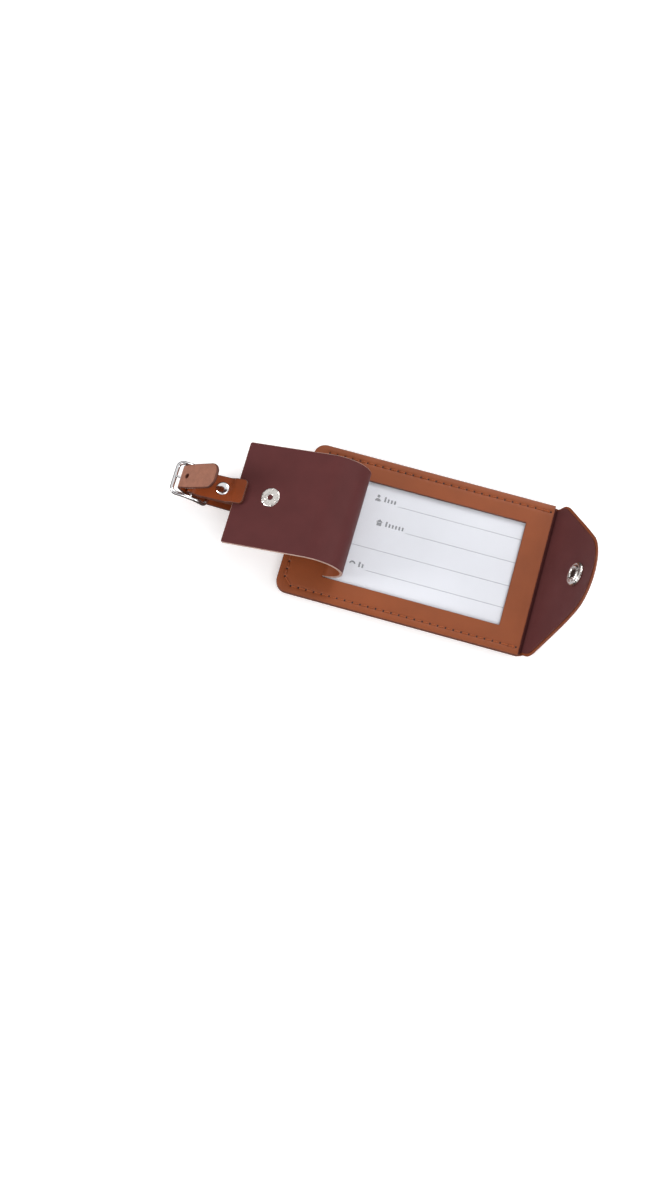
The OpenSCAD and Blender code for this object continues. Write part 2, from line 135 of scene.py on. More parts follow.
class Mat:
    """A material with one Principled shader, built node by node."""

    def __init__(self, name, base, rough, specular=0.5, metallic=0.0):
        self.m = bpy.data.materials.new(name)
        self.m.use_nodes = True
        self.t = self.m.node_tree
        self.b = self.t.nodes["Principled BSDF"]
        self.set({"Base Color": (*base, 1), "Roughness": rough, "Metallic": metallic,
                  "Specular IOR Level": specular})
        self.m.diffuse_color = (*base, 1)

    def set(self, values):
        for k, v in values.items():
            self.b.inputs[k].default_value = v

    def link(self, a, b):
        self.t.links.new(a, b)

    def place(self, uv=True, scale=(1, 1, 1), turn=0.0):
        """Texture coordinates: the sheet's own flat coordinates, or the object's."""
        c = add_node(self.t, "ShaderNodeTexCoord")
        m = add_node(self.t, "ShaderNodeMapping", {"Scale": scale, "Rotation": (0, 0, turn)})
        self.link(c.outputs["UV" if uv else "Object"], m.inputs["Vector"])
        return m.outputs["Vector"]

    def noise(self, where, scale, detail, rough, distort=0.0):
        n = add_node(self.t, "ShaderNodeTexNoise", {"Scale": scale, "Detail": detail,
                                                    "Roughness": rough, "Distortion": distort})
        self.link(where, n.inputs["Vector"])
        return n.outputs["Fac"]

    def cells(self, where, scale):
        n = add_node(self.t, "ShaderNodeTexVoronoi", {"Scale": scale})
        self.link(where, n.inputs["Vector"])
        return n.outputs["Distance"]

    def math(self, op, a, b):
        n = add_node(self.t, "ShaderNodeMath", operation=op)
        for i, v in enumerate((a, b)):
            if isinstance(v, (int, float)):
                n.inputs[i].default_value = v
            else:
                self.link(v, n.inputs[i])
        return n.outputs[0]

    def map(self, fac, lo, hi, from_lo, from_hi):
        n = add_node(self.t, "ShaderNodeMapRange", {"From Min": from_lo, "From Max": from_hi,
                                                    "To Min": lo, "To Max": hi})
        self.link(fac, n.inputs["Value"])
        return n.outputs["Result"]

    def shades(self, fac, base, *stops):
        """A base colour darkened or lightened: (position, brightness) stops."""
        return add_ramp(self.t, fac, [(p, shade(base, k)) for p, k in stops])

    def paint(self, colour):
        self.link(colour, self.b.inputs["Base Color"])

    def gloss(self, fac, lo, hi, from_lo=0.3, from_hi=0.7):
        """Roughness from lo to hi, as the factor goes over its own range."""
        self.link(self.map(fac, lo, hi, from_lo, from_hi), self.b.inputs["Roughness"])

    def bump(self, heights, distance):
        """Bumps one over another: (height socket, strength) pairs."""
        normal = None
        for height, strength in heights:
            n = add_node(self.t, "ShaderNodeBump", {"Strength": strength, "Distance": distance})
            self.link(height, n.inputs["Height"])
            if normal is not None:
                self.link(normal, n.inputs["Normal"])
            normal = n.outputs["Normal"]
        self.link(normal, self.b.inputs["Normal"])


def leather(name, base, rough, grain=1.0, creases=1.0, specular=0.34):
    """Smooth coated leather: soft tonal clouds, a fine pebbled grain and hairline creases. The
    flat coordinates are in centimetres."""
    m = Mat(name, base, rough, specular)
    p = m.place()
    m.paint(m.shades(m.noise(p, 0.55, 3, 0.5), base, (0.3, 0.9), (0.52, 1), (0.72, 1.1)))
    fine = m.noise(p, 60, 3, 0.6)
    crease = m.noise(m.place(scale=(1.0, 0.16, 1), turn=0.75), 2.6, 5, 0.62, 0.6)
    lines = m.map(m.math("ABSOLUTE", m.math("SUBTRACT", crease, 0.5), 0), 0, 1, 0, 0.02)
    m.gloss(fine, rough - 0.06, rough + 0.08)
    m.bump([(m.cells(p, 26), 0.16 * grain), (fine, 0.12 * grain), (lines, 0.05 * creases)],
           0.00012)
    return m.m


def lining(name, base, rough=0.55):
    """Smooth matt lining with a faint speckle and a powdery sheen."""
    m = Mat(name, base, rough, 0.14)
    p = m.place()
    tone = m.shades(m.noise(p, 0.8, 2, 0.5), base, (0.3, 0.93), (0.7, 1.07))
    speck = add_ramp(m.t, m.noise(p, 7.0, 2, 0.5), [(0.765, (0, 0, 0)), (0.79, (1, 1, 1))])
    mix = add_node(m.t, "ShaderNodeMix", {7: (*shade(base, 3.0), 1)}, data_type="RGBA",
                   blend_type="MIX")
    m.link(m.math("MULTIPLY", speck, 0.18), mix.inputs[0])
    m.link(tone, mix.inputs[6])
    m.paint(mix.outputs[2])
    fine = m.noise(p, 85, 3, 0.6)
    m.gloss(fine, rough - 0.04, rough + 0.06)
    m.bump([(fine, 0.14)], 0.0001)
    m.set({"Sheen Weight": 0.03, "Sheen Roughness": 0.4})
    return m.m


def suede(name, base):
    """The strap's unfinished underside: short nap with soft blotches."""
    m = Mat(name, base, 0.85, 0.15)
    p = m.place()
    nap, blotch = m.noise(p, 45, 4, 0.7), m.noise(p, 3.5, 3, 0.6)
    both = m.math("ADD", m.math("MULTIPLY", nap, 0.5), m.math("MULTIPLY", blotch, 0.5))
    m.paint(m.shades(both, base, (0.36, 0.78), (0.5, 1), (0.64, 1.18)))
    m.gloss(nap, 0.78, 0.92)
    m.bump([(nap, 0.5)], 0.00012)
    m.set({"Sheen Weight": 0.25})
    return m.m


def painted(name, base, rough=0.4):
    """Edge paint, and the dark coat used as painted shade at the bottom of holes: a glossy, slightly
    wavy coat.
    """
    m = Mat(name, base, rough, 0.45)
    n = m.noise(m.place(uv=False), 900, 3, 0.6)
    m.paint(m.shades(n, base, (0.35, 0.82), (0.65, 1.16)))
    m.gloss(n, rough - 0.08, rough + 0.1)
    m.bump([(n, 0.25)], 0.0001)
    return m.m


def metal(name, base, rough, wear=0.5, pits=0.0):
    """Nickel plate; pits gives the coarse knurling of a pressed rim."""
    m = Mat(name, base, rough, metallic=1.0)
    p = m.place(uv=False)
    n = m.noise(p, 420, 4, 0.6)
    m.paint(m.shades(n, base, (0.3, 0.9), (0.7, 1.04)))
    m.gloss(n, rough - 0.04, rough + 0.07)
    marks = [(n, 0.06 * wear)]
    if pits:
        marks.append((m.cells(p, 1300), pits))
    m.bump(marks, 0.0002 if pits else 0.0001)
    return m.m


def thread(name, base):
    """Twisted sewing thread."""
    m = Mat(name, base, 0.7, 0.25)
    w = add_node(m.t, "ShaderNodeTexWave", {"Scale": 9}, wave_type="BANDS",
                 bands_direction="DIAGONAL")
    m.link(m.place(), w.inputs["Vector"])
    twist = w.outputs["Fac"]
    m.paint(m.shades(twist, base, (0.2, 0.72), (0.7, 1.15)))
    m.gloss(twist, 0.75, 0.6, 0.0, 1.0)
    m.bump([(twist, 0.5)], 0.00012)
    m.set({"Sheen Weight": 0.2})
    return m.m


def paper(name, base):
    m = Mat(name, base, 0.62, 0.3)
    n = m.noise(m.place(), 40, 4, 0.65)
    m.paint(m.shades(n, base, (0.3, 0.975), (0.7, 1.01)))
    m.gloss(n, 0.55, 0.7)
    m.bump([(n, 0.1)], 0.00005)
    return m.m


def ground(name):
    """The floor: matt and almost white."""
    m = Mat(name, (0.97, 0.97, 0.97), 0.95, 0.0)
    n = m.noise(m.place(uv=False), 40, 3, 0.6)
    m.paint(add_ramp(m.t, n, [(0.3, (0.96, 0.96, 0.96)), (0.7, (0.98, 0.98, 0.98))]))
    m.set({"Emission Color": (1, 1, 1, 1), "Emission Strength": 0.25})
    return m.m


def film(name):
    """Clear vinyl: mostly see-through, with a soft gloss that shows its slight waves."""
    m = Mat(name, (0.93, 0.95, 0.98), 0.12, 0.6)
    wave = m.noise(m.place(), 0.45, 2, 0.45, 0.5)
    m.gloss(wave, 0.08, 0.2)
    m.bump([(wave, 0.6)], 0.0006)
    m.set({"Alpha": 0.16})
    return m.m


M = {
    "body": leather("brown_leather", srgb(139, 71, 36), 0.5),
    "flap": leather("brown_leather_flap", srgb(137, 68, 33), 0.46),
    "strap": leather("strap_leather", srgb(127, 57, 22), 0.43, 0.8, 0.6, 0.26),
    "wine": lining("wine_lining", srgb(86, 43, 43)),
    "suede": suede("strap_underside", srgb(142, 89, 67)),
    "edge": painted("edge_paint", srgb(120, 62, 36)),
    "dark_edge": painted("edge_paint_dark", srgb(88, 42, 26)),
    "raw": painted("cut_edge", srgb(176, 146, 134), 0.6),
    # the hole colour is painted shade: a dark brown set at the bottom of the needle holes and in the
    # snap's wells
    "hole": painted("stitch_hole_painted_shade", srgb(46, 20, 12), 0.7),
    "nickel": metal("nickel", (0.8, 0.8, 0.81), 0.1),
    "pressed": metal("nickel_pressed", (0.7, 0.665, 0.63), 0.2, 1.2, 0.55),
    "thread": thread("thread", srgb(168, 84, 38)),
    "floor": ground("floor"),
    "card": paper("card", srgb(229, 230, 236)),
    "ink": paper("card_ink", srgb(122, 124, 132)),
    "ink_dark": paper("card_ink_dark", srgb(92, 94, 101)),
    "film": film("clear_film"),
}


# ---- meshes ----
def make(name, verts, faces, mats, uv=None):
    """A mesh object from points in mm, faces, and one material name per face."""
    me = bpy.data.meshes.new(name)
    me.from_pydata([tuple(v) for v in np.asarray(verts) * MM], [], faces)
    slots = list(dict.fromkeys(mats))
    for k in slots:
        me.materials.append(M[k])
    me.polygons.foreach_set("material_index", [slots.index(k) for k in mats])
    me.polygons.foreach_set("use_smooth", [True] * len(faces))
    if uv is not None:
        layer = me.uv_layers.new(name="flat")
        loop_vert = np.zeros(len(me.loops), int)
        me.loops.foreach_get("vertex_index", loop_vert)
        layer.data.foreach_set("uv", np.asarray(uv)[loop_vert].astype(np.float32).ravel())
    me.validate()
    me.update()
    o = bpy.data.objects.new(name, me)
    bpy.context.scene.collection.objects.link(o)
    return o


def finish_as(o, slot, *nodes):
    """Hides the CAD nodes that a piece stands for; slot is not used."""
    if nodes:
        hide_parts(*nodes)


def attach(o, body, slot, *nodes):
    """Puts a piece on a body and hides the CAD nodes that it stands for; slot is not used."""
    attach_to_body(o, body)
    finish_as(o, slot, *nodes)


def inset(poly, d):
    """A closed outline moved to its left by a distance for each of its edges."""
    p = np.asarray(poly, float)
    d2 = np.broadcast_to(d, len(p)).astype(float)
    d1 = np.roll(d2, 1)
    e1, e2 = p - np.roll(p, 1, 0), np.roll(p, -1, 0) - p
    e1 /= np.linalg.norm(e1, axis=1)[:, None]
    e2 /= np.linalg.norm(e2, axis=1)[:, None]
    n1, n2 = np.c_[-e1[:, 1], e1[:, 0]], np.c_[-e2[:, 1], e2[:, 0]]
    det = n1[:, 0] * n2[:, 1] - n1[:, 1] * n2[:, 0]
    n = n1 + n2
    n /= np.linalg.norm(n, axis=1)[:, None]
    out = n * ((d1 + d2) / 2)[:, None]
    k = np.abs(det) > 0.05
    out[k, 0] = (d1[k] * n2[k, 1] - d2[k] * n1[k, 1]) / det[k]
    out[k, 1] = (n1[k, 0] * d2[k] - n2[k, 0] * d1[k]) / det[k]
    return p + out


def inside(pts, loops):
    """Which points lie inside a set of closed outlines, by crossings."""
    hit = np.zeros(len(pts), bool)
    x, y = pts[:, 0], pts[:, 1]
    for loop in loops:
        for (x1, y1), (x2, y2) in zip(loop, np.roll(loop, -1, 0)):
            if y1 != y2:
                hit ^= ((y1 > y) != (y2 > y)) & (x < (x2 - x1) * (y - y1) / (y2 - y1) + x1)
    return hit


def gap_to(pts, loops, chunk=4000):
    """Distance from each point to the nearest outline point."""
    every = np.vstack(loops)
    out = np.full(len(pts), 1e9)
    for i in range(0, len(pts), chunk):
        d = pts[i:i + chunk, None, :] - every[None]
        out[i:i + chunk] = np.sqrt((d ** 2).sum(2)).min(1)
    return out


def between(a, b, n, first=0):
    """n points on the way from a to b, an nth of it apart."""
    return [(a[0] + (b[0] - a[0]) * i / n, a[1] + (b[1] - a[1]) * i / n)
            for i in range(first, first + n)]


def densify(poly, step):
    """Adds points along a closed outline's long edges; step is a length, or tells it from an
    edge's ends."""
    out = []
    p = [tuple(q) for q in poly]
    for a, b in zip(p, p[1:] + p[:1]):
        most = step(a, b) if callable(step) else step
        out += between(a, b, max(1, int(ceil(dist(a, b) / most))))
    return np.array(out)


def grid(xs, ys):
    gx, gy = np.meshgrid(xs, ys)
    return np.c_[gx.ravel(), gy.ravel()]


def hexes(box, step):
    """A loose triangular grid over a box."""
    x0, y0, x1, y1 = box
    rows = []
    for i, y in enumerate(np.arange(y0, y1, step * 0.866)):
        xs = np.arange(x0 + (i % 2) * step / 2, x1, step)
        rows.append(np.c_[xs, np.full(len(xs), y)])
    pts = np.vstack(rows)
    return pts + rng.normal(0, step * 0.05, pts.shape)


def sheet(name, loops, z0, z1, mats, place=None, pts=None, step=1.3, edge=0.2, lift=None,
          sink=None, open_edge=None, keep=0.45):
    """A sheet with rounded edges, and materials for its top, sides and bottom. Outlines have the
    sheet on their left. open_edge tells, for the middle of an edge, whether it is left unrounded
    and unwalled; lift and sink move the top and the bottom by (x, y); place maps the flat sheet
    to its shape; keep is how clear of the rim the fill points stay."""
    top_m, side_m, bottom_m = mats
    arcs, band = 3, 0.22
    edge = min(edge, (z1 - z0) / 2 - 0.01)
    turn = [pi / 2 * i / arcs for i in range(arcs + 1)]
    prof = [(edge + band, z1)]
    prof += [(edge - edge * sin(a), z1 - edge + edge * cos(a)) for a in turn]
    prof += [(edge - edge * sin(a), z0 + edge - edge * cos(a)) for a in turn[::-1]]
    prof += [(edge + band, z0)]
    n_ring = len(prof)
    verts, zs, faces, fm, inner = [], [], [], [], []
    for loop in loops:
        loop = np.asarray(loop, float)
        mids = (loop + np.roll(loop, -1, 0)) / 2
        flags = np.array([bool(open_edge and open_edge(*m)) for m in mids])
        base, n = len(verts), len(loop)
        for d, z in prof:
            verts += [tuple(q) for q in inset(loop, np.where(flags, 0.0, d))]
            zs += [z] * n
        for r in range(n_ring - 1):
            a, b = base + r * n, base + (r + 1) * n
            mat = top_m if r == 0 else bottom_m if r == n_ring - 2 else side_m
            for i in np.flatnonzero(~flags).tolist():
                j = (i + 1) % n
                faces.append((a + i, b + i, b + j, a + j))
                fm.append(mat)
        inner.append((base, n))
    rim = [np.array(verts[b:b + n]) for b, n in inner]
    if pts is None:
        lo, hi = np.vstack(rim).min(0), np.vstack(rim).max(0)
        pts = hexes((*lo, *hi), step)
    fill = pts[inside(pts, rim)]
    fill = fill[gap_to(fill, [densify(r, 0.5) for r in rim]) > keep * min(step, 1.0)]
    edges, at = [], 0
    for _, n in inner:
        edges += [(at + i, at + (i + 1) % n) for i in range(n)]
        at += n
    co, _, tris, origin, _, _ = delaunay_2d_cdt([Vector(q) for q in np.vstack(rim + [fill])],
                                                edges, [], 0, 1e-5)
    co = np.array([tuple(c) for c in co])
    good = inside(np.array([(co[t[0]] + co[t[1]] + co[t[2]]) / 3 for t in tris]), rim)
    tris = [t for t, g in zip(tris, good) if g]
    rim_ids = [(b + i, n) for b, n in inner for i in range(n)]
    for top in (True, False):
        index = []
        for k in range(len(co)):
            src = origin[k][0] if origin[k] else -1
            if 0 <= src < len(rim_ids):
                i, n = rim_ids[src]
                index.append(i if top else i + (n_ring - 1) * n)
            else:
                index.append(len(verts))
                verts.append(tuple(co[k]))
                zs.append(z1 if top else z0)
        for t in tris:
            a, b, c = (index[q] for q in t)
            area = np.cross(co[t[1]] - co[t[0]], co[t[2]] - co[t[0]])
            faces.append((a, b, c) if (area > 0) == top else (c, b, a))
            fm.append(top_m if top else bottom_m)
    flat, zs = np.array(verts), np.array(zs)
    x, y = flat[:, 0], flat[:, 1]
    mid = (z0 + z1) / 2
    up, down = np.clip((zs - mid) / (z1 - mid), 0, 1), np.clip((mid - zs) / (mid - z0), 0, 1)
    if lift is not None:
        zs = zs + lift(x, y) * up
    if sink is not None:
        zs = zs + sink(x, y) * down
    spots = np.c_[x, y, zs] if place is None else np.column_stack(place(x, y, zs))
    return make(name, spots, faces, fm, uv=flat * UV_SCALE)


def tube(path, radii, sides=10, closed=False):
    """Points and faces of a tube swept along a path."""
    p = np.asarray(path, float)
    n = len(p)
    r = np.broadcast_to(radii, n)
    tan = np.roll(p, -1, 0) - np.roll(p, 1, 0) if closed else np.gradient(p, axis=0)
    tan /= np.linalg.norm(tan, axis=1)[:, None]
    ref = np.array([0, 0, 1.0]) if abs(tan[0][2]) < 0.9 else np.array([1.0, 0, 0])
    us = [ref]
    for t in tan:
        u = us[-1] - t * (us[-1] @ t)
        us.append(u / np.linalg.norm(u))
    us = np.array(us[1:])
    vs = np.cross(tan, us)
    ang = np.linspace(0, 2 * pi, sides, endpoint=False)
    pts = (p[:, None, :] + r[:, None, None] * (
        np.cos(ang)[None, :, None] * us[:, None, :]
        + np.sin(ang)[None, :, None] * vs[:, None, :])).reshape(-1, 3)
    faces = []
    for i in range(n if closed else n - 1):
        a, b = i * sides, ((i + 1) % n) * sides
        faces += [(a + j, a + (j + 1) % sides, b + (j + 1) % sides, b + j)
                  for j in range(sides)]
    if not closed:
        faces += [tuple(range(sides - 1, -1, -1)), tuple(range((n - 1) * sides, n * sides))]
    return pts, faces


def pack(parts):
    """Several (points, faces) as one."""
    verts, faces = [], []
    for v, f in parts:
        k = len(verts)
        verts += [tuple(q) for q in v]
        faces += [tuple(i + k for i in t) for t in f]
    return np.array(verts), faces


def lathe(profile, sides=96, wave=None):
    """Points and faces of a profile of (radius, height) turned round Z, open at both ends unless
    the radius there is 0."""
    pts = []
    for r, z in np.asarray(profile, float):
        for a in np.linspace(0, 2 * pi, sides, endpoint=False):
            rr, zz = (r, z) if wave is None else wave(a, r, z)
            pts.append((rr * cos(a), rr * sin(a), zz))
    faces = []
    for i in range(len(profile) - 1):
        a, b = i * sides, (i + 1) * sides
        for j in range(sides):
            k = (j + 1) % sides
            faces.append((a + j, a + k, b + k, b + j))
    return np.array(pts), faces


def rounded(points, r=0.2, steps=4):
    """A profile line with its inner corners rounded."""
    out = [points[0]]
    for a, b, c in zip(points, points[1:], points[2:]):
        a, b, c = map(np.array, (a, b, c))
        u, v = a - b, c - b
        lu, lv = np.linalg.norm(u), np.linalg.norm(v)
        k = min(r, lu * 0.45, lv * 0.45)
        p, q = b + u / lu * k, b + v / lv * k
        for i in range(steps + 1):
            t = i / steps
            out.append(tuple((1 - t) ** 2 * p + 2 * t * (1 - t) * b + t * t * q))
    out.append(points[-1])
    return out


def put(pts, at, turn, dy=0.0, dz=0.0):
    """Points moved from a local frame into place: shifted, turned about X, then moved to at."""
    a = radians(turn)
    p = np.asarray(pts, float)
    py, pz = p[:, 1] + dy, p[:, 2] + dz
    y = py * cos(a) - pz * sin(a)
    z = py * sin(a) + pz * cos(a)
    return np.c_[p[:, 0], y + at[0], z + at[1]]


def solid(name, shape, mat, body, slot, *nodes, at=None):
    """A piece from points and faces, its points put in place by a function."""
    v, faces = shape
    v = np.asarray(v if at is None else at(v))
    o = make(name, v, faces, [mat] * len(faces), uv=v[:, :2] * UV_SCALE)
    bm = bmesh.new()
    bm.from_mesh(o.data)
    bmesh.ops.remove_doubles(bm, verts=bm.verts, dist=1e-7)
    bmesh.ops.recalc_face_normals(bm, faces=bm.faces)
    bm.to_mesh(o.data)
    bm.free()
    attach(o, body, slot, *nodes)


# ---- outlines of the body ----
def arc(cx, cy, r, a0, a1, n=8):
    return [(cx + r * cos(radians(a0 + (a1 - a0) * i / n)),
             cy + r * sin(radians(a0 + (a1 - a0) * i / n))) for i in range(n + 1)]


def end_corners(h, top=END_Y, r=CORNER_R, n=10):
    """The two rounded corners at an outline's upper end, from right to left."""
    return arc(h - r, top - r, r, 0, 90, n) + arc(-h + r, top - r, r, 90, 180, n)


def body_outline(w=BODY_W):
    return densify([(-w / 2, FOLD_Y), (w / 2, FOLD_Y), *end_corners(w / 2)], 1.2)


def slot_outline(grow=0.0):
    r, c = SLOT_H / 2 + grow, (SLOT_W - SLOT_H) / 2
    return densify(arc(c, SLOT_Y, r, 90, -90, 10) + arc(-c, SLOT_Y, r, -90, -270, 10), 1.0)


WINDOW_Y1 = joint_at("cover_curl_1")[0] + 0.3


def window_outline(r=0.5):
    h = WINDOW_W / 2
    pts = [(h, WINDOW_Y1), *arc(h - r, WINDOW_Y0 + r, r, 0, -90, 4),
           *arc(-h + r, WINDOW_Y0 + r, r, -90, -180, 4), (-h, WINDOW_Y1)]
    return densify(pts, 1.2)


# ---- seam ----
SEAM_X, SEAM_Y, SEAM_FOOT, CHAMFER = BODY_W / 2 - SEAM, END_Y - SEAM, FOLD_Y + 1.6, 3.6
seam_line = [(-SEAM_X, SEAM_FOOT), (-SEAM_X, SEAM_Y - CHAMFER), (-SEAM_X + CHAMFER, SEAM_Y),
             (SEAM_X - CHAMFER, SEAM_Y), (SEAM_X, SEAM_Y - CHAMFER), (SEAM_X, SEAM_FOOT)]


def along(line, pitch):
    """Points a whole number of pitches apart along each straight of a line."""
    out = [line[0]]
    for a, b in zip(line, line[1:]):
        out += between(a, b, max(1, round(dist(a, b) / pitch)), 1)
    return out


holes = np.array(along(seam_line, PITCH))


def seam_gap(x, y):
    """Distance to the seam's line."""
    out = np.full(len(x), 1e9)
    for a, b in zip(seam_line, seam_line[1:]):
        a, b = np.array(a), np.array(b)
        d = b - a
        t = np.clip(((x - a[0]) * d[0] + (y - a[1]) * d[1]) / (d @ d), 0, 1)
        out = np.minimum(out, np.hypot(x - a[0] - t * d[0], y - a[1] - t * d[1]))
    return out


def dimples(x, y, r=0.42, depth=0.5):
    """Depth of the needle holes' funnels."""
    out = np.zeros(len(x))
    for hx, hy in holes:
        k = (np.abs(x - hx) < 2) & (np.abs(y - hy) < 2)
        if k.any():
            q = ((x[k] - hx) ** 2 + (y[k] - hy) ** 2) / r ** 2
            out[k] += depth * np.exp(-q)
    return out


def ripple(x, y):
    """Slow unevenness of a hand-finished sheet."""
    return 0.04 * (np.sin(0.11 * x + 0.7) * np.sin(0.083 * y + 1.1)
                   + 0.5 * np.sin(0.21 * x - 0.17 * y + 0.4))


def edge_fall(x, y, depth, width):
    """How far a sheet's rim bends away near the body's sides and strap end."""
    side, end = BODY_W / 2 - np.abs(x), END_Y - y
    corner = (side < CORNER_R) & (end < CORNER_R)
    d = np.where(corner, CORNER_R - np.hypot(CORNER_R - side, CORNER_R - end),
                 np.minimum(side, end))
    t = np.clip(1 - d / width, 0, 1)
    return depth * t * t


def front_lift(x, y):
    groove = np.exp(-(seam_gap(x, y) / GROOVE) ** 2)
    return (-0.16 * groove - dimples(x, y) - edge_fall(x, y, 0.3, 2.6)
            + ripple(x, y) * (y > FOLD_Y + 2))


def back_sink(x, y):
    groove = np.exp(-(seam_gap(x, y) / GROOVE) ** 2)
    return (0.12 * groove + dimples(x, y, 0.3, 0.3) + edge_fall(x, y, 0.12, 1.6)) * (
        y > FOLD_Y + 0.5)


def seam_points(box, step):
    """Fill points with finer rows at the seam and rings at the needle holes."""
    pts = [hexes(box, step)]
    for off in (-1.1, -0.6, -0.25, 0.25, 0.6, 1.1):
        line = [(math.copysign(abs(px) - off, px), py - (off if abs(px) < SEAM_X - 1 else 0))
                for px, py in seam_line]
        pts.append(np.array(along(line, 0.8)))
    base = np.vstack(pts)
    rings = [base[gap_to(base, [holes]) > 0.72], holes]
    for r, n in ((0.14, 6), (0.3, 9), (0.55, 12)):
        a = np.linspace(0, 2 * pi, n, endpoint=False) + r
        rings += [holes + [r * cos(t), r * sin(t)] for t in a]
    return np.vstack(rings)


def at_root(x, y):
    return abs(y - WINDOW_Y1) < 0.01


BOX = (-BODY_W / 2, FOLD_Y, BODY_W / 2, END_Y)
SEAM_FILL = seam_points(BOX, 1.35)
LINED = ("wine", "dark_edge", "wine")
MARGIN_Z = 1.71

o = sheet("front_leather", [body_outline(), window_outline(), slot_outline()],
          TOP_Z - LEATHER_T, TOP_Z, ("body", "edge", "wine"), pts=SEAM_FILL, edge=0.3,
          lift=front_lift, open_edge=at_root, keep=0.3)
attach(o, "tag_body", "brown_leather", "front_panel")

o = sheet("front_lining_sheet", [body_outline(LINING_W), window_outline(0.3), slot_outline(0.1)],
          MARGIN_Z + 0.01, TOP_Z - LEATHER_T, LINED, step=3.0, edge=0.15, open_edge=at_root)
attach(o, "tag_body", "wine_lining", "front_lining")

# the board that closes the pocket at its sides and over its end
h, p = BODY_W / 2 - 0.12, 28.0
board = densify([(-h, FOLD_Y), (-p, FOLD_Y), (-p, 41.0), (p, 41.0), (p, FOLD_Y), (h, FOLD_Y),
                 *end_corners(h, END_Y - 0.1, 5, 6)], 2.5)
o = sheet("pocket_margin", [board, slot_outline(0.15)], SHEET_T + 0.01, MARGIN_Z, LINED, step=3.5,
          edge=0.1)
attach(o, "tag_body", "wine_lining")

# ---- back sheet with the closing flap ----
FLAP_OPEN = -joints["flap_fold"]["range_deg"][0]
FOLD_ARC = (FOLD_R - LEATHER_T / 2) * radians(FLAP_OPEN)
FOLD_C = joint_at("flap_fold")
FLAP_Y = FOLD_Y - FOLD_ARC


def flap_bow(past):
    """How far the flap's end curls to its lined side, and the slope of that curl."""
    t = np.maximum(past / FLAP_L - 0.5, 0)
    return 8.8 * t * t, 17.6 * t / FLAP_L


def fold_place(x, y, z):
    """Flat coordinates to the folded shape: round the fold, then up the flap."""
    a = np.radians(np.clip((FOLD_Y - y) / FOLD_ARC, 0, 1) * FLAP_OPEN)
    past = np.maximum(0, FLAP_Y - y)
    r = FOLD_C[1] - z
    bow = flap_bow(past)[0]
    new_y = FOLD_C[0] + np.maximum(0, y - FOLD_Y) - r * np.sin(a) - past * np.cos(a)
    new_z = FOLD_C[1] - r * np.cos(a) + past * np.sin(a)
    return x, new_y + bow * np.sin(a), new_z + bow * np.cos(a)


def back_outline(rim, body_w):
    """The whole back sheet laid flat: the flap past its fold, with straight slanted sides between
    its shoulders and its round tip, and the body."""
    slant_deg = 56.3
    w, tip_r, shoulder_r = BODY_W / 2 - rim, 20.7 - rim, 10.0 - rim
    slant = radians(slant_deg)
    tip_c = FLAP_L - rim - tip_r
    reach = tip_r + tip_c * cos(slant)
    sy = (reach - shoulder_r - (w - shoulder_r) * sin(slant)) / cos(slant)
    half = [(w - 0.75, 0.0), (w - 0.72, 1.2), (w - 0.35, 2.6), (w - 0.05, 4.4)]
    for a in np.radians(np.arange(0, 90 - slant_deg + 0.1, 3)):
        q = (w - shoulder_r + shoulder_r * cos(a), sy + shoulder_r * sin(a))
        if q[1] > 4.6:
            half.append(q)
    for a in np.radians(np.arange(90 - slant_deg, 88.5, 3)):
        half.append((tip_r * cos(a), tip_c + tip_r * sin(a)))
    right = [(a, FLAP_Y - b) for a, b in half]
    pts = [(-a, b) for a, b in right] + [(0, FLAP_Y - FLAP_L + rim)] + right[::-1]
    h, foot = body_w / 2, FOLD_Y + 0.6
    return densify(pts + [(h, foot), *end_corners(h), (-h, foot)], 1.2)


FOLD_ROWS = grid(np.arange(-33, 33.5, 1.4), np.linspace(FOLD_Y + 0.4, FLAP_Y - 0.4, 26))
FLAP_BOX = (-35, FLAP_Y - FLAP_L, 35, FLAP_Y - 0.9)
fill = np.vstack([SEAM_FILL[SEAM_FILL[:, 1] > FOLD_Y + 0.9], FOLD_ROWS, hexes(FLAP_BOX, 1.5)])
o = sheet("back_leather", [back_outline(0, BODY_W), slot_outline()], 0, LEATHER_T,
          ("flap", "edge", "flap"), place=fold_place, pts=fill, edge=0.3, sink=back_sink,
          keep=0.12)
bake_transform(o)
finish_as(o, "brown_leather", "back_panel", "flap_leather")

fill = np.vstack([hexes(BOX, 3.2), FOLD_ROWS, hexes(FLAP_BOX, 1.5)])
fill = fill[(fill[:, 1] > FOLD_Y + 0.9) | (fill[:, 1] < FOLD_Y + 0.5)]
o = sheet("back_lining_sheet", [back_outline(0.95, LINING_W), slot_outline(0.1)],
          LEATHER_T + 0.005, SHEET_T, LINED, place=fold_place, pts=fill, edge=0.14, keep=0.12)
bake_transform(o)
finish_as(o, "wine_lining", "back_lining", "flap_lining")


# ---- stitches ----
def stitch_run(points, z, up, rise=0.16):
    """Threads that dip into the needle holes at both ends."""
    r, slant, short, clear = 0.21, 0.07, 0.4, 0.34
    parts = []
    t = np.linspace(0, 1, 11)
    out = np.abs(2 * t - 1)
    for a, b in zip(points, points[1:]):
        a, b = np.array(a), np.array(b)
        d = b - a
        length = np.linalg.norm(d)
        if length < short:
            continue
        u, n = d / length, np.array([-d[1], d[0]]) / length
        q = a + np.outer(clear + t * (length - 2 * clear), u) + np.outer((t - 0.5) * 2 * slant, n)
        height = rise * (1 - out ** 3) - 0.5 * out ** 12
        parts.append(tube(np.c_[q, z + up * height], r * (0.72 + 0.28 * (1 - out ** 4)), 8))
    return parts


def tack(side):
    """The backstitches that lock the seam next to the fold."""
    x, y = side * SEAM_X, SEAM_FOOT
    return [[(x + dx, y + y0), (x + dx * 0.6, y + (y0 + y1) / 2), (x - dx * 0.4, y + y1)]
            for dx, y0, y1 in ((-0.34, 0.1, 3.4), (0.32, 0.6, 4.2), (-0.1, 3.0, 6.6))]


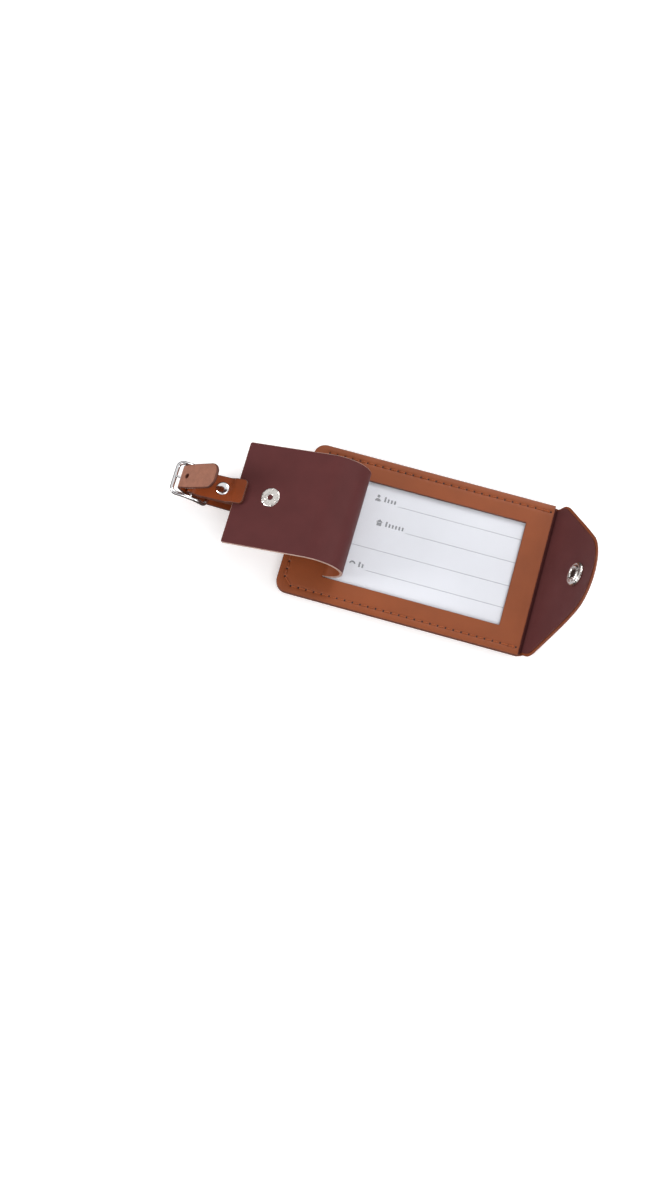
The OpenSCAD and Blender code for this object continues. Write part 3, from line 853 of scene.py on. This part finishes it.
front_thread = stitch_run(holes, TOP_Z - 0.12, 1)
back_thread = stitch_run(holes, 0.08, -1, 0.1)
for run in tack(-1) + tack(1):
    front_thread += stitch_run(run, TOP_Z - 0.1, 1)
    back_thread += stitch_run(run, 0.06, -1, 0.1)
solid("seam_front", pack(front_thread), "thread", "tag_body", "thread", "seam_thread_front")
solid("seam_back", pack(back_thread), "thread", "tag_body", "thread", "seam_thread_back")


def polygon(points, z):
    """One flat face at a height."""
    return np.array([(x, y, z) for x, y in points]), [tuple(range(len(points)))]


def ellipse(x, y, rx, ry, angles):
    return np.c_[x + rx * np.cos(angles), y + ry * np.sin(angles)]


# dark discs at the bottom of the needle holes: painted shade inside the holes
around = np.linspace(0, 2 * pi, 12, endpoint=False)
discs = [polygon(ellipse(hx, hy, 0.46, 0.46, around), z)
         for hx, hy in holes for z in (TOP_Z - 0.31, 0.3)]
solid("stitch_hole_shade_discs", pack(discs), "hole", "tag_body", "brown_leather")

# ---- card and film ----
card_lo, card_hi = (np.array(c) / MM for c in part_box("name_card"))
cw, r = card_hi[0], 1.2
card_loop = densify([*arc(cw - r, card_lo[1] + r, r, -90, 0, 5),
                     *end_corners(cw, card_hi[1], r, 5),
                     *arc(-cw + r, card_lo[1] + r, r, 180, 270, 5)], 3)
o = sheet("card_paper", [card_loop], card_lo[2], card_hi[2], ("card",) * 3, step=4, edge=0.04)
attach(o, "name_card", "card", "name_card")
INK_Z = card_hi[2] + 0.012


def bar(x0, y0, x1, y1, half):
    """A thin printed stroke lying along a line."""
    a, b = np.array([x0, y0]), np.array([x1, y1])
    d = (b - a) / np.linalg.norm(b - a)
    n = np.array([-d[1], d[0]]) * half
    return polygon([a - n, b - n, b + n, a + n], INK_Z)


# each rule's place across the card and its end along it
ruled = [(16.2, 12.4), (5.3, 6.1), (-5.6, 38.0), (-15.7, 18.6)]
solid("card_rules", pack([bar(x, -47.0, x, y, 0.11) for x, y in ruled]), "ink", "name_card", "card")


def glyph(x, y, kind):
    """A small plain sign: a person, a house or a handset, upright along +X."""
    if kind == "person":
        head = ellipse(x + 2.35, y, 0.72, 0.72, np.linspace(0, 2 * pi, 20, endpoint=False))
        chest = ellipse(x, y, 1.35, 1.35, np.linspace(-pi / 2, pi / 2, 16))
        outlines = [head, chest]
    elif kind == "house":
        outlines = [[(x, y - 1.05), (x, y + 1.05), (x + 1.5, y + 1.05), (x + 1.5, y - 1.05)],
                    [(x + 1.65, y - 1.6), (x + 1.65, y + 1.6), (x + 3.05, y)]]
    else:
        b = np.linspace(-0.9, 0.9, 12)
        outlines = [np.vstack([ellipse(x - 0.5, y, 3.0, 1.9, b),
                               ellipse(x - 0.5, y, 2.2, 1.25, b)[::-1]])]
    return [polygon(line, INK_Z) for line in outlines]


# a sign and a row of short bars stand where each rule begins
BAR_PITCH = 1.5
parts = []
for x, y1, kind, count in ((16.4, 13.6, "person", 4), (5.5, 7.2, "house", 6),
                           (-15.4, 19.8, "handset", 2)):
    parts += glyph(x, y1 + BAR_PITCH * count + 2.2, kind)
    for i in range(count):
        y = y1 + BAR_PITCH * i + 0.5
        parts.append(bar(x + 0.3, y, x + (2.7 if i == count - 1 else 2.0), y, 0.4))
solid("card_marks", pack(parts), "ink_dark", "name_card", "card")

film_lo, film_hi = (np.array(c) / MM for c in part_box("window_film"))
fx = film_hi[0]
film_loop = densify([(-fx, film_lo[1]), (fx, film_lo[1]), (fx, film_hi[1]), (-fx, film_hi[1])], 3)
o = sheet("window_vinyl", [film_loop], film_lo[2], film_hi[2], ("film",) * 3, step=3, edge=0.03)
attach(o, "tag_body", "clear_film", "window_film")

# ---- window cover ----
BENDS = 7
hinge = [joint_at(f"cover_curl_{k}") for k in range(1, BENDS + 1)]
bend = [radians(joints[f"cover_curl_{k}"]["range_deg"][1]) for k in range(1, BENDS + 1)]
plate = np.cumsum(bend)
STEP = float(np.linalg.norm(hinge[2] - hinge[1]))
flat_at = [0.0, STEP / 2] + [STEP / 2 + STEP * i for i in range(1, BENDS - 1)]
ROOT_Y, ROOT_S, COVER_L = hinge[0][0], -0.3, flat_at[-1] + COVER_FREE
TUCK, TUCK_DEPTH, TUCK_RAMP = 0.25, 0.02, 0.04


def ease(t):
    t = np.clip(t, 0, 1)
    return t * t * (3 - 2 * t)


def heading(a):
    return np.array([-cos(a), sin(a)])


def zone(k):
    """Where bend k's turning starts and ends, as distances from its axis."""
    return (ROOT_S, 3.87) if k == 0 else (-1.5 * STEP, 1.5 * STEP)


def tilt(k):
    """How far the cover is turned before bend k."""
    return plate[k - 1] if k else 0.0


def cover_rise(s):
    """How far the flattened cover's middle stands over the panel, against length."""
    base = 0.43 * float(ease((s - ROOT_S) / 9.0))
    x = s - flat_at[-1]
    if x > STEP / 2:
        w = float(ease(0.5 + x / (3 * STEP)))
        base = min(base, x * sin((1 - w) * bend[-1]))
    return base


def cover_point(k, s):
    """Place at rest of flat length s on bend k, so that the closed cover comes out flat."""
    mid = tilt(k) + bend[k] / 2
    lo, hi = zone(k)
    x, rise = s - flat_at[k], cover_rise(s)
    w = 0.5
    for _ in range(40):
        u = heading(tilt(k) + w * bend[k])
        p = hinge[k] + x * u + rise * np.array([u[1], -u[0]])
        w = 0.5 * w + 0.5 * float(ease((((p - hinge[k]) @ heading(mid)) - lo) / (hi - lo)))
    return p


# the cover's centre line at rest, sampled stretch by stretch
bounds_s = [ROOT_S] + [(flat_at[k] + flat_at[k + 1]) / 2 for k in range(BENDS - 1)] + [COVER_L]
line_s, line_p = [], []
for k, (s0, s1) in enumerate(zip(bounds_s, bounds_s[1:])):
    line_s.append(np.linspace(s0, s1, max(30, int((s1 - s0) / 0.12))))
    line_p.append([cover_point(k, s) for s in line_s[-1]])
line_s, line_p = np.concatenate(line_s), np.vstack(line_p)
once = np.r_[True, np.diff(line_s) > 1e-6]
line_s, line_p = line_s[once], line_p[once]
# even out the seams between stretches, and start level with the panel
for _ in range(6):
    line_p[1:-1] = 0.25 * line_p[:-2] + 0.5 * line_p[1:-1] + 0.25 * line_p[2:]
line_t = np.gradient(line_p, line_s, axis=0)
line_t /= np.linalg.norm(line_t, axis=1)[:, None]
line_t[line_s < -0.15] = (-1, 0)


def cover_place(x, y, z):
    """Flat coordinates to the curled cover, whose free end sags at its sides."""
    s = ROOT_Y - y
    py, pz = np.interp(s, line_s, line_p[:, 0]), np.interp(s, line_s, line_p[:, 1])
    ty, tz = np.interp(s, line_s, line_t[:, 0]), np.interp(s, line_s, line_t[:, 1])
    d = z - MID_Z - 0.21 * np.clip((s - 40) / 40, 0, 1) * (x / COVER_HALF) ** 2
    return x, py + tz * d, pz - ty * d


def cover_piece(name, k, z0, z1, mat, tuck):
    """One stretch of a layer; tuck is how far its end reaches, a hair lower, under the next."""
    last = k == BENDS - 1
    w, fine, coarse, r = COVER_HALF, 0.42, 1.3, 0.9
    y1, end_y = ROOT_Y - bounds_s[k], ROOT_Y - bounds_s[k + 1]
    y0 = end_y if last else end_y - tuck
    if last:
        pts = [*arc(-w + r, y0 + r, r, 180, 270, 5), *arc(w - r, y0 + r, r, 270, 360, 5)]
        rows = np.r_[np.arange(y0, y1 - 14, coarse), np.arange(y1 - 14, y1, fine)]
    else:
        pts = [(-w, y0), (w, y0)]
        rows = np.r_[end_y - TUCK_RAMP, np.arange(end_y, y1, fine)]

    def step(a, b):
        along_side = abs(a[0] - b[0]) < 0.01
        return 1.6 if not along_side else 0.6 if last else fine

    def is_open(x, y):
        return abs(y - y1) < 1e-4 or (not last and abs(y - y0) < 1e-4)

    def place(x, y, z):
        return cover_place(x, y, z - TUCK_DEPTH * np.clip((end_y - y) / TUCK_RAMP, 0, 1))

    cols = np.linspace(-w + 0.8, w - 0.8, 30)
    o = sheet(name, [densify([*pts, (w, y1), (-w, y1)], step)], z0, z1, (mat, "raw", mat),
              place=place, pts=grid(cols, rows), edge=0.2, open_edge=is_open, keep=0.16)
    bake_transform(o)
    return o


low_z, skin_z = MID_Z - SHEET_T / 2, MID_Z - SHEET_T / 2 + LINING_T
for k in range(BENDS):
    node = "free" if k == BENDS - 1 else str(k + 1)
    o = cover_piece(f"cover_skin_{k + 1}", k, skin_z, MID_Z + SHEET_T / 2, "body", TUCK)
    finish_as(o, "brown_leather", f"cover_leather_{node}")
    o = cover_piece(f"cover_facing_{k + 1}", k, low_z, skin_z - 0.005, "wine", 0.0)
    finish_as(o, "wine_lining", f"cover_lining_{node}")

# ---- snap fastener ----
bow_at_snap, bow_slope = flap_bow(SNAP_ON_FLAP)


def on_flap(pts, z):
    """From a frame on the flap at the snap: +Z to the lined side, z over the fold's plane."""
    p = put(pts, (-SNAP_ON_FLAP, bow_at_snap), -degrees(bow_slope), dz=z)
    return put(p, FOLD_C, -FLAP_OPEN)


def on_lining(pts):
    return on_flap(pts, -(FOLD_R - SHEET_T))


MIRROR_Z = np.array([1, 1, -1])
cap = rounded([(0, 1.5), (1.9, 1.42), (3.6, 1.06), (4.75, 0.5), (5.12, 0.12), (5.0, -0.1),
               (4.2, -0.12)], 0.5, 4)
solid("snap_cap_dome", lathe(cap, 96), "nickel", "closing_flap", "nickel", "snap_cap",
      at=lambda pts: on_flap(pts * MIRROR_Z, -FOLD_R))

socket = rounded([(2.25, 0.5), (2.25, 1.8), (2.55, 2.1), (3.1, 2.22), (3.5, 2.0), (3.9, 1.72),
                  (4.5, 1.7), (5.0, 1.5), (5.4, 1.0), (5.45, 0.4), (5.3, -0.05)], 0.25, 4)
wires = [tube([(s * 1.86 + s * 0.08 * cos(t), 1.35 * sin(t), 1.62)
               for t in np.linspace(-1.25, 1.25, 15)], 0.17, 8) for s in (-1, 1)]
solid("snap_socket_ring", pack([lathe(socket, 96), *wires]), "pressed", "closing_flap", "nickel",
      "snap_socket", at=on_lining)
# a dark disc in the socket's middle: painted shade in its hollow
solid("snap_socket_painted_shade", lathe([(0, 0.62), (1.2, 0.62), (2.35, 0.6)], 48), "hole",
      "closing_flap", "nickel", at=on_lining)


def on_cover(pts, z):
    """From a frame on the cover's free end at the snap: +Z to the leather side."""
    return put(pts, hinge[-1], -degrees(plate[-1]), -SNAP_ON_COVER, z)


def on_facing(pts):
    return on_cover(pts, -SHEET_T / 2)


stud = rounded([(0.75, 0.3), (0.78, 1.5), (1.0, 1.86), (1.45, 1.9), (1.75, 1.6), (1.8, 1.15),
                (1.55, 0.8), (1.6, 0.42), (2.6, 0.36), (3.9, 0.33), (4.25, 0.2), (4.3, -0.03)],
               0.15, 3)
solid("snap_stud_post", lathe(stud, 72), "nickel", "cover_free", "nickel", "snap_stud",
      at=lambda pts: on_cover(pts, SHEET_T / 2))


def crimp(a, r, z):
    """The rolled and pressed rim of an eyelet, split into soft petals."""
    petals = 0.5 + 0.5 * cos(7 * a + 0.6 * sin(2 * a))
    k = np.clip((r - 1.4) / 1.6, 0, 1) * np.clip((4.4 - r) / 0.6, 0, 1)
    dents = 0.07 * sin(13 * a + 4 * r) + 0.05 * sin(23 * a - 6 * r)
    out = r * (1 + 0.022 * petals * np.clip((r - 3.4) / 0.8, 0, 1))
    return out, z - k * (0.06 * petals + dents * 0.5)


rim = rounded([(1.18, 0.5), (1.2, -0.16), (1.45, -0.3), (1.9, -0.29), (2.6, -0.2), (3.4, -0.25),
               (3.9, -0.22), (4.22, -0.1), (4.3, 0.05)], 0.12, 4)
solid("snap_rim_crimp", lathe(rim, 120, crimp), "pressed", "cover_free", "nickel",
      "snap_stud_rim", at=on_facing)
# a dark disc in the eyelet's middle: painted shade in its hollow
solid("snap_rim_painted_shade", lathe([(0, 0.3), (0.6, 0.3), (1.22, 0.28)], 40), "hole", "cover_free",
      "nickel", at=on_facing)

# ---- strap ----
HEAD_TILT, LAYER_OFF = 7.0, 0.7
bar_at, tail_at = joint_at("buckle_tilt"), joint_at("tail_fold")
RIVET = np.array([87.7, 11.8])
BAR_RUN, LAP_L, TAIL_L, RISE_A, TAIL_A = 13.4, 4.8, 24.0, 65.0, 137.0
LAP_FROM, LAP_R, LAP_A, LAP_RISE = 1.8, 4.0, 32.0, 1.2
UNDER_RUN = RIVET[0] - SLOT_Y - 1.6


def walk(moves, start, turn_step=4.0, go_step=1.1):
    """[y, z, heading, length] along straight runs and turns."""
    y, z, a, s = *start, 0.0
    out = [(y, z, a, s)]
    for kind, *v in moves:
        if kind == "go":
            n = max(1, int(ceil(v[0] / go_step)))
            for i in range(n):
                y += v[0] / n * cos(radians(a))
                z += v[0] / n * sin(radians(a))
                s += v[0] / n
                out.append((y, z, a, s))
        else:
            r, t = v
            n = max(2, int(ceil(abs(t) / turn_step)))
            k = math.copysign(r, t)
            for i in range(n):
                b = a + t / n
                y += k * (sin(radians(b)) - sin(radians(a)))
                z -= k * (cos(radians(b)) - cos(radians(a)))
                a = b
                s += abs(radians(t / n)) * r
                out.append((y, z, a, s))
    return np.array(out)


wrap_r, ease_r, turn_r, roll_foot, head_run, level_r = 1.55, 3.0, 1.5, 1.8, 12.0, 30.0
ease_a = degrees(math.acos((LAYER_OFF + ease_r) / (wrap_r + ease_r)))
ease_run = (wrap_r + ease_r) * sin(radians(ease_a))
ct, st = cos(radians(HEAD_TILT)), sin(radians(HEAD_TILT))
slot_mid = TOP_Z / 2
roll_low = TOP_Z + 0.2 + STRAP_T / 2
level_z = RIVET[1] - LAYER_OFF * ct + head_run * st + level_r * (1 - ct)
level_y0 = SLOT_Y - turn_r - roll_foot
level_y1 = RIVET[0] - LAYER_OFF * st - head_run * ct - level_r * st
roll_r = (level_z - roll_low) / 2
under_z, under_rise = -0.32 - STRAP_T / 2, 3.8
front_path = walk([
    ("go", roll_low - turn_r - slot_mid), ("turn", turn_r, 90), ("go", roll_foot),
    ("turn", roll_r, -180), ("go", level_y1 - level_y0), ("turn", level_r, -HEAD_TILT),
    ("go", head_run + BAR_RUN - ease_run), ("turn", ease_r, -ease_a),
    ("turn", wrap_r, 180 + 2 * ease_a), ("turn", ease_r, -ease_a),
    ("go", BAR_RUN - ease_run + LAP_FROM), ("turn", LAP_R, -LAP_A), ("go", LAP_RISE),
    ("turn", LAP_R, LAP_A - (degrees(plate[-1]) - 180 - HEAD_TILT)), ("go", LAP_L)],
    (SLOT_Y, slot_mid, 90.0))
SPLIT = UNDER_RUN - 6.6
back_path = walk([
    ("go", slot_mid - turn_r - under_z), ("turn", turn_r, 90), ("go", 7),
    ("turn", 30, under_rise), ("go", SPLIT)], (SLOT_Y, slot_mid, -90.0))
fold_r = 2.0
fold_t = fold_r * math.tan(radians((TAIL_A - RISE_A) / 2))
tail_path = walk([
    ("go", UNDER_RUN - SPLIT), ("turn", 8, RISE_A - under_rise), ("go", 8.35 - fold_t),
    ("turn", fold_r, TAIL_A - RISE_A), ("go", TAIL_L - fold_t)], back_path[-1, :3])


def path_rows(path, gap=0.15):
    """Lengths at which the path was sampled, without the ones too close together."""
    out = [path[0, 3]]
    for q in path[1:, 3]:
        if q - out[-1] > gap:
            out.append(q)
    return out


def ribbon(name, path, under, width, cuts, end_r):
    """A strap along a path, x across, y its length and z to the path's left, with cut holes. It
    starts open and ends with two rounded corners; under is its lower side's material."""
    s = path[:, 3]
    a = np.radians(np.unwrap(path[:, 2], period=360))
    length = s[-1]
    rows = path_rows(path)

    def place(x, y, z):
        py, pz, h = np.interp(y, s, path[:, 0]), np.interp(y, s, path[:, 1]), np.interp(y, s, a)
        return x, py - z * np.sin(h), pz + z * np.cos(h)

    def crowned(x, y):
        return 0.05 * (1 - (x / (STRAP_W / 2)) ** 2)

    right = [(width(0) / 2, 0)]
    right += [(width(q) / 2, q) for q in rows if 0 < q < length - end_r]
    right += [(width(length) / 2 - end_r + end_r * cos(t),
               length - end_r + end_r * sin(t)) for t in np.linspace(0, pi / 2, 12)]
    pts = right + [(-x, y) for x, y in right[::-1]]
    loop = densify(pts, lambda c, d: 1.2 if abs(c[1] - d[1]) < 0.3 else 5)
    side = width(0) / 2 - 0.75
    fill = grid(np.linspace(-side, side, 9), np.array(rows))
    for cut in cuts:
        c = np.mean(cut, 0)
        fill = fill[np.hypot(fill[:, 0] - c[0], fill[:, 1] - c[1])
                    > np.hypot(*(np.array(cut) - c).T).max() + 0.35]
    return sheet(name, [loop, *cuts], -STRAP_T / 2, STRAP_T / 2, ("strap", "dark_edge", under),
                 place=place, pts=fill, edge=0.32, open_edge=lambda x, y: abs(y) < 1e-4, keep=0.2,
                 lift=crowned, sink=lambda x, y: -crowned(x, y) * 0.6)


def oval(cy, rx, ry, n=22):
    """A hole's outline on the strap's middle, with the material on its left."""
    return [(rx * cos(t), cy + ry * sin(t))
            for t in np.linspace(0, -2 * pi, n, endpoint=False)]


# the loop: from under the tag, up through the slot, round the roll and out to its folded end
rev = back_path[::-1].copy()
rev[:, 3] = rev[0, 3] - rev[:, 3]
rev[:, 2] += 180
fwd = front_path.copy()
fwd[:, 3] += rev[-1, 3]
# the fold's middle is the path's farthest point from the tag
bar_s = rev[-1, 3] + front_path[np.argmax(front_path[:, 0]), 3]
o = ribbon("strap_loop_leather", np.vstack([rev, fwd[1:]]), "strap",
           lambda y: STRAP_W - 1.1 * ease(1 - np.abs(y - bar_s) / 7.0),
           [oval(bar_s, 1.25, 2.5)], 1.9)
attach(o, "strap", "strap_leather", "strap_loop")

# the tail: its fold lies where the path comes nearest to the joint
off_fold = np.hypot(tail_path[:, 0] - tail_at[0], tail_path[:, 1] - tail_at[1])
tail_s = tail_path[:, 3][np.argmin(off_fold)]
o = ribbon("strap_tail_leather", tail_path, "suede",
           lambda y: STRAP_W - 1.0 * math.exp(-((y - tail_s) / 5.5) ** 2),
           [oval(tail_s + 4.6, 0.95, 0.95), oval(tail_s - 3.3, 1.15, 2.3)], 4.6)
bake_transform(o)
finish_as(o, "strap_leather", "strap_tail")

# ---- rivet ----
half_stack = LAYER_OFF + STRAP_T / 2 + 0.04


def at_rivet(pts, z=0.0):
    return put(pts, RIVET, -HEAD_TILT, dz=z)


v, f = lathe(rounded([(0, 0.98), (1.3, 0.9), (2.4, 0.6), (2.88, 0.3), (3.0, 0.08), (2.9, -0.06),
                      (2.3, -0.08)], 0.35, 4), 80)
solid("rivet_cap_front", (at_rivet(v, half_stack), f), "nickel", "strap", "nickel",
      "rivet_front_cap")
post, post_f = lathe([(1.0, half_stack), (1.0, -half_stack)], 32)
solid("rivet_cap_back", pack([(at_rivet(v * MIRROR_Z, -half_stack), f), (at_rivet(post), post_f)]),
      "nickel", "strap", "nickel", "rivet_post")

# ---- buckle ----
WIRE_R, FRAME_W, ARCH_R, ARCH_A, BEND_R, TILT = 0.9, 16.0, 15.0, radians(25.0), 2.4, 27.0


def on_buckle(pts):
    return put(pts, bar_at, TILT)


# the frame: four rounded corners in turn, with the end bars and the arched rails between them
rail_x = FRAME_W / 2 - WIRE_R
rail_y, rail_z = ARCH_R * sin(ARCH_A), ARCH_R * (cos(ARCH_A) - 1)
ring = []
for sx, sy in ((1, 1), (-1, 1), (-1, -1), (1, -1)):
    quarter = []
    for t in np.linspace(0, pi / 2, 9):
        u, w = rail_x - BEND_R + BEND_R * cos(t), BEND_R * sin(t)
        quarter.append((sx * u, sy * (rail_y + w * cos(ARCH_A)),
                        rail_z - w * sin(ARCH_A)))
    if sx != sy:
        quarter.reverse()
    ring += quarter
    if sx == sy:
        x, y, z = quarter[-1]
        ring += [(x * (1 - i / 6), y, z) for i in range(1, 6)]
        ring += [(-x * i / 6, y, z) for i in range(0, 6)]
    else:
        for t in np.linspace(1, -1, 21)[1:-1]:
            b = ARCH_A * t * sy
            ring.append((sx * rail_x, ARCH_R * sin(b), ARCH_R * (cos(b) - 1)))
ring = np.array(ring)
ring = ring[np.linalg.norm(ring - np.roll(ring, 1, 0), axis=1) > 1e-4]
solid("buckle_frame_wire", tube(ring, WIRE_R, 20, closed=True), "nickel", "buckle_frame",
      "nickel", "buckle_frame", at=on_buckle)
xs = np.linspace(-rail_x + 0.35, rail_x - 0.35, 25)
waist = 0.8 - 0.1 * np.cos(xs * 2 * pi / 14)
solid("buckle_centre_bar", tube(np.c_[xs, 0 * xs, 0 * xs], waist, 18), "nickel",
      "buckle_frame", "nickel", "buckle_bar", at=on_buckle)

# the prong: a ring bent round the bar, and a tapering tongue that rests on the far end
end_y, end_z = rail_y + BEND_R * cos(ARCH_A), rail_z - BEND_R * sin(ARCH_A)
drop, tip, eye_r, root_y = -end_z - WIRE_R - 0.62, end_y + 0.5, 1.26, 1.2
path = [(0, -eye_r * cos(t + pi / 2), eye_r * sin(t + pi / 2))
        for t in np.linspace(radians(-250), radians(78), 26)]
rad = [0.5] * len(path)
for t in np.linspace(0.0, 1, 16)[1:]:
    path.append((0, root_y + (tip - root_y) * t,
                 0.75 * (1 - t) + 0.55 * sin(pi * t) * 0.6 - drop * t))
    rad.append(0.56 - 0.14 * t if t < 0.99 else 0.22)
solid("buckle_prong_wire", tube(path[8:], rad[8:], 14), "nickel", "buckle_prong", "nickel",
      "buckle_prong", at=on_buckle)

# ---- camera and light ----
scene = bpy.context.scene
cam_data = bpy.data.cameras.new("camera")
cam = bpy.data.objects.new("camera", cam_data)
scene.collection.objects.link(cam)
scene.camera = cam
cam_data.sensor_fit = "HORIZONTAL"
cam_data.sensor_width = 36
cam_data.lens = 86.24
cam_data.clip_start = 0.01
cam_data.clip_end = 20
here = Vector((-0.1917, -0.0164, 0.6801))
look = Vector((-0.0321, 0.0285, 0.0)) - here
right = Vector((0.271, -0.963, 0.0)).normalized()
back_v = (-look).normalized()
right = (right - back_v * right.dot(back_v)).normalized()
up = back_v.cross(right)
cam.matrix_world = Matrix(
    ((right.x, up.x, back_v.x, here.x), (right.y, up.y, back_v.y, here.y),
     (right.z, up.z, back_v.z, here.z), (0, 0, 0, 1)))

# the world is white where it is seen, a soft sky for matt surfaces, and for glossy ones a bright
# tent with a dark rim and a dark patch where the camera stands
world = bpy.data.worlds.new("studio")
scene.world = world
world.use_nodes = True
tree = world.node_tree
tree.nodes.clear()


def background(strength, colour=None, ramp=None):
    """A background of one colour, or of a ramp's."""
    bg = add_node(tree, "ShaderNodeBackground", {"Strength": strength})
    if ramp is None:
        bg.inputs["Color"].default_value = (*colour, 1)
    else:
        tree.links.new(ramp, bg.inputs["Color"])
    return bg.outputs[0]


def sky(stops, strength):
    """A background whose brightness goes by height: 0 straight down, 1 straight up."""
    return background(strength, ramp=add_ramp(tree, height.outputs[0], stops))


def mixed(fac, a, b):
    n = add_node(tree, "ShaderNodeMixShader")
    for i, socket in enumerate((fac, a, b)):
        tree.links.new(socket, n.inputs[i])
    return n.outputs[0]


geo = add_node(tree, "ShaderNodeTexCoord")
sep = add_node(tree, "ShaderNodeSeparateXYZ")
tree.links.new(geo.outputs["Generated"], sep.inputs[0])
height = add_node(tree, "ShaderNodeMath", {1: 0.5, 2: 0.5}, operation="MULTIPLY_ADD")
tree.links.new(sep.outputs["Z"], height.inputs[0])
facing = add_node(tree, "ShaderNodeVectorMath", {1: tuple(back_v)}, operation="DOT_PRODUCT")
tree.links.new(geo.outputs["Generated"], facing.inputs[0])
patch = add_node(tree, "ShaderNodeMapRange", {"From Min": 0.86, "From Max": 0.93})
tree.links.new(facing.outputs["Value"], patch.inputs["Value"])

matt = sky([(0.0, (0.3, 0.29, 0.28)), (0.45, (0.5, 0.5, 0.5)), (0.6, (0.85, 0.85, 0.85)),
            (1.0, (1, 1, 1.01))], 0.55)
tent = sky([(0.0, (0.16, 0.12, 0.1)), (0.5, (0.05, 0.04, 0.04)), (0.6, (0.12, 0.11, 0.11)),
            (0.7, (1.0, 1.0, 1.0)), (1.0, (0.95, 0.95, 0.96))], 0.95)
paths = add_node(tree, "ShaderNodeLightPath")
glossy = mixed(patch.outputs["Result"], tent, background(1.0, (0.09, 0.045, 0.04)))
lit = mixed(paths.outputs["Is Glossy Ray"], matt, glossy)
out = add_node(tree, "ShaderNodeOutputWorld")
tree.links.new(mixed(paths.outputs["Is Camera Ray"], lit, background(1.0, (1, 1, 1))),
               out.inputs["Surface"])

# a pale floor just under the tag; metal mirrors the tent and not the floor
floor_z, floor_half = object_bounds()[0][2] / MM - 0.1, 3000.0
floor = make("floor", [(x, y, floor_z) for x, y in ((-1, -1), (1, -1), (1, 1), (-1, 1))],
             [(0, 1, 2, 3)], ["floor"])
floor.scale = (floor_half, floor_half, 1)
floor.visible_glossy = False


def area(name, at, size, power):
    """A rectangular lamp aimed at the tag."""
    d = bpy.data.lights.new(name, "AREA")
    d.shape = "RECTANGLE"
    d.size, d.size_y = size
    d.energy = power
    o = bpy.data.objects.new(name, d)
    scene.collection.objects.link(o)
    o.location = at
    o.rotation_mode = "QUATERNION"
    o.rotation_quaternion = (Vector((0, 0.02, 0)) - Vector(at)).to_track_quat("-Z", "Y")


area("key", (0.7, -0.22, 0.64), (0.5, 0.5), 4.2)
area("fill", (-0.5, -0.35, 0.7), (0.6, 0.6), 2.4)
area("strip", (0.1, -0.6, 0.35), (0.5, 0.15), 1.0)
area("side", (-0.3, 0.85, 0.34), (0.4, 0.3), 4.2)

scene.view_settings.view_transform = "Standard"
scene.view_settings.look = "None"
scene.view_settings.exposure = 0.0
scene.view_settings.gamma = 1.0
